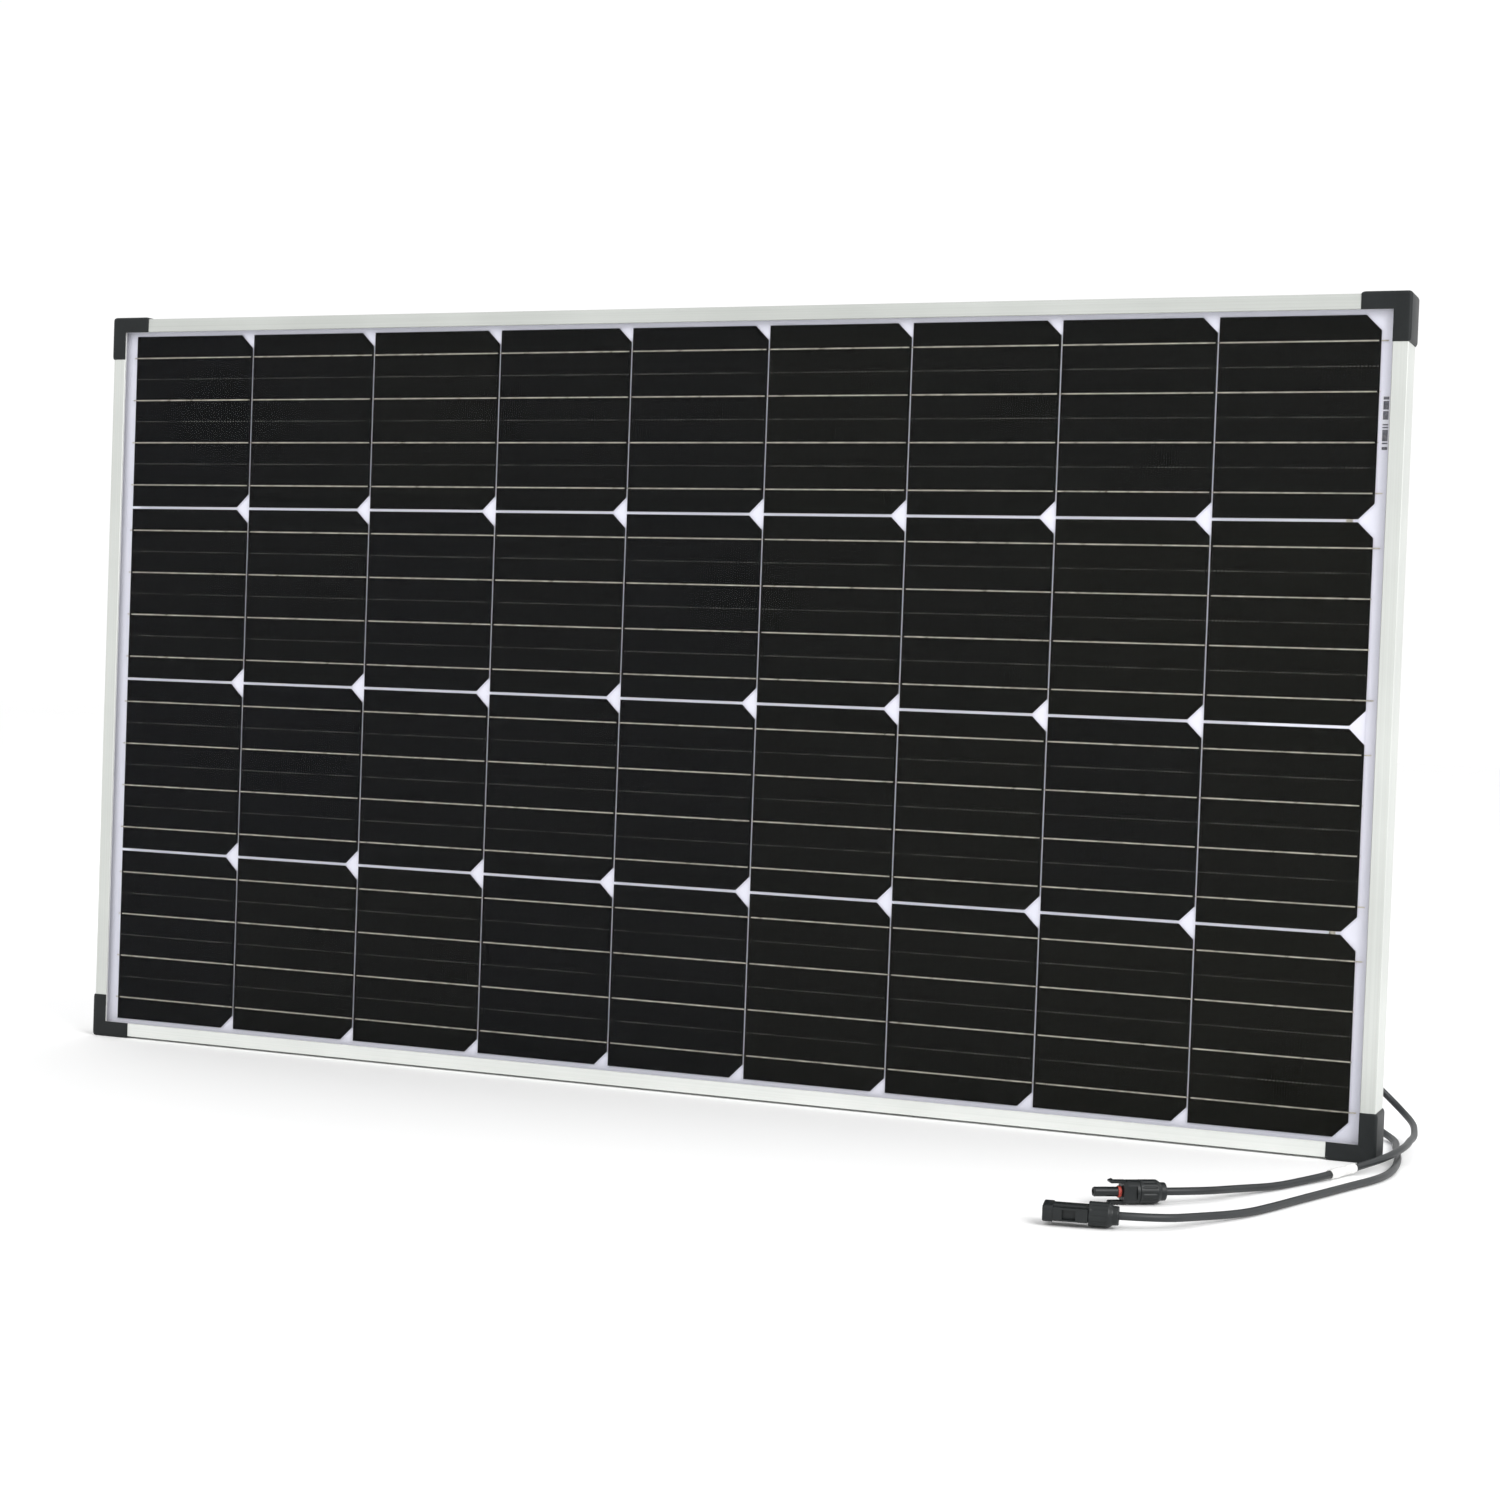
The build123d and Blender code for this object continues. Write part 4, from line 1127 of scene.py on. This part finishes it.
@dataclass
class FrameSet:
    """The four bars, the corner keys in them and the caps over the corners."""

    sides: tuple[str, ...] = ("left", "right")
    levels: tuple[str, ...] = ("top", "bottom")

    def build(self) -> None:
        """Dresses the frame."""
        # The top bar's darker aluminium is painted shade, and the bottom bar's paler aluminium is painted
        # light.
        BAR_TOP_PAINTED_SHADE.dress("frame_bar_top")
        BAR_BOTTOM_PAINTED_LIGHT.dress("frame_bar_bottom")
        BARS_UPRIGHT.dress(*[f"frame_bar_{side}" for side in self.sides])
        for level in self.levels:
            for side in self.sides:
                BARS_UPRIGHT.dress(f"corner_key_{level}_{side}")
                CornerCap(level, side).build()


@dataclass
class Laminate:
    """Glass, cells, ribbons and sheets, with the sealant that shows at the back."""

    strings: int = 4
    half_width: float = 578 * MM
    half_height: float = 320.5 * MM
    film_front: float = -10.55 * MM
    bond: float = 0.06 * MM
    cover_right: tuple[float, float] = (478 * MM, 568.5 * MM)
    cover_left: tuple[float, float] = (-568.5 * MM, -560 * MM)
    cover_depth: tuple[float, float] = (-11.36 * MM, -11.26 * MM)
    cover_half: float = 12 * MM

    def build(self) -> None:
        """Dresses the sheets and runs the bead of sealant along the frame's shelf."""
        GLASS.dress("front_glass")
        self.build_encapsulant()
        self.build_bus_covers()
        numbers = range(1, self.strings + 1)
        SILICON.dress(*[f"cell_string_{n}" for n in numbers])
        RIBBON.dress(*[f"string_ribbons_{n}" for n in numbers], "bus_ribbons")
        FILM.dress("backsheet")
        SEALANT.dress("glass_edge_seal")
        BAR_STRIP.dress("serial_label")
        LABEL.dress("rating_label")
        self.build_bead()

    def build_encapsulant(self) -> None:
        """The two encapsulant sheets, fused into one body round the cells.

        Its front is just behind the glass and its back just inside the backsheet's face, so no
        two faces lie on each other. The section across the panel's height is carried along X.
        """
        low, high = (np.array(corner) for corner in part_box("front_encapsulant"))
        front, back = low[1] + self.bond, self.film_front + self.bond
        section = rounded([(low[2], front), (high[2], front), (high[2], back), (low[2], back)], 0.3 * MM)
        body = drawn_along_x("encapsulant_body", section, low[0], high[0], 10)
        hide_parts("front_encapsulant", "rear_encapsulant")
        ENCAPSULANT.cover(body, "panel")

    def build_bus_covers(self) -> None:
        """White strips between the cells and the bus ribbons, where these pass between two rows.

        Each is a thin section, of height and depth, carried along X.
        """
        low, high = self.cover_depth
        right, left = self.cover_right, self.cover_left
        places = {"right": (right, 0.0), "left_top": (left, 1.0), "left_bottom": (left, -1.0)}
        for name, ((start, end), rows) in places.items():
            z = CENTRE_Z + rows * ROW_PITCH
            top, bottom = z + self.cover_half, z - self.cover_half
            section = rounded([(bottom, low), (top, low), (top, high), (bottom, high)], 0.04 * MM, 3)
            FILM.cover(drawn_along_x(f"bus_cover_{name}", section, start, end, 4), "panel")

    def build_bead(self) -> None:
        """A fillet of sealant squeezed out between the film and the shelf."""
        corners = rectangle(0.0, self.half_width, self.half_height)
        across = rounded([(0, 0), (0, 1.9 * MM), (-1.0 * MM, 1.6 * MM), (-2.6 * MM, 0)], 0.6 * MM)
        SEALANT.cover(bead("shelf_sealant", corners, across, 5), "panel")


@dataclass
class JunctionBox:
    """The box on the panel's back, its lid, glands and what is inside."""

    x: float = 490 * MM
    half_width: float = 48 * MM
    half_height: float = 55 * MM
    nut_length: float = 15 * MM
    foot_inset: float = 0.5 * MM

    def build(self) -> None:
        """Dresses the box and adds the squeezed-out sealant and the turned nuts."""
        BOX_PLASTIC.dress("junction_box_base", "junction_box_lid")
        SEALANT.dress("junction_box_adhesive")
        BLACK_RUBBER.dress("lid_gasket", "box_gland_seal_positive", "box_gland_seal_negative")
        PIN_STEEL.dress("lid_hinge_pin")
        TIN_PLATE.dress("terminal_positive", "terminal_center", "terminal_negative")
        DIODE_EPOXY.dress("bypass_diodes")
        STRANDS.dress("cable_cores")
        self.build_foot()
        for name, z in GLAND_Z.items():
            GlandNut(
                f"box_nut_{name}",
                f"box_gland_nut_{name}",
                f"box_gland_{name}_nut",
                (GLAND_X, GLAND_Y, z),
                (1, 0, 0),
                length=self.nut_length,
                nose=((0, 7.9 * MM), (4.0 * MM, 9.2 * MM)),
                bore=7.15 * MM,
                bore_depth=13 * MM,
            ).build()

    def build_foot(self) -> None:
        """A bead of sealant round the box's foot."""
        inset = self.foot_inset
        corners = rectangle(self.x, self.half_width - inset, self.half_height - inset)
        outline = [(-1.5 * MM, 0), (-1.5 * MM, 0.9 * MM), (0.6 * MM, 1.5 * MM), (2.6 * MM, 0)]
        SEALANT.cover(bead("box_sealant", corners, rounded(outline, 0.6 * MM), 8), "panel")


def main() -> None:
    """Builds the studio, the leads and the panel, in that order."""
    logging.basicConfig(level=logging.INFO, format="%(name)s: %(message)s")
    studio = Studio()
    studio.place_camera()
    studio.light()
    studio.lay_floor()
    for assembly in (Leads(), FrameSet(), Laminate(), JunctionBox()):
        log.info("building %s", type(assembly).__name__)
        assembly.build()


if __name__ == "__main__":
    main()
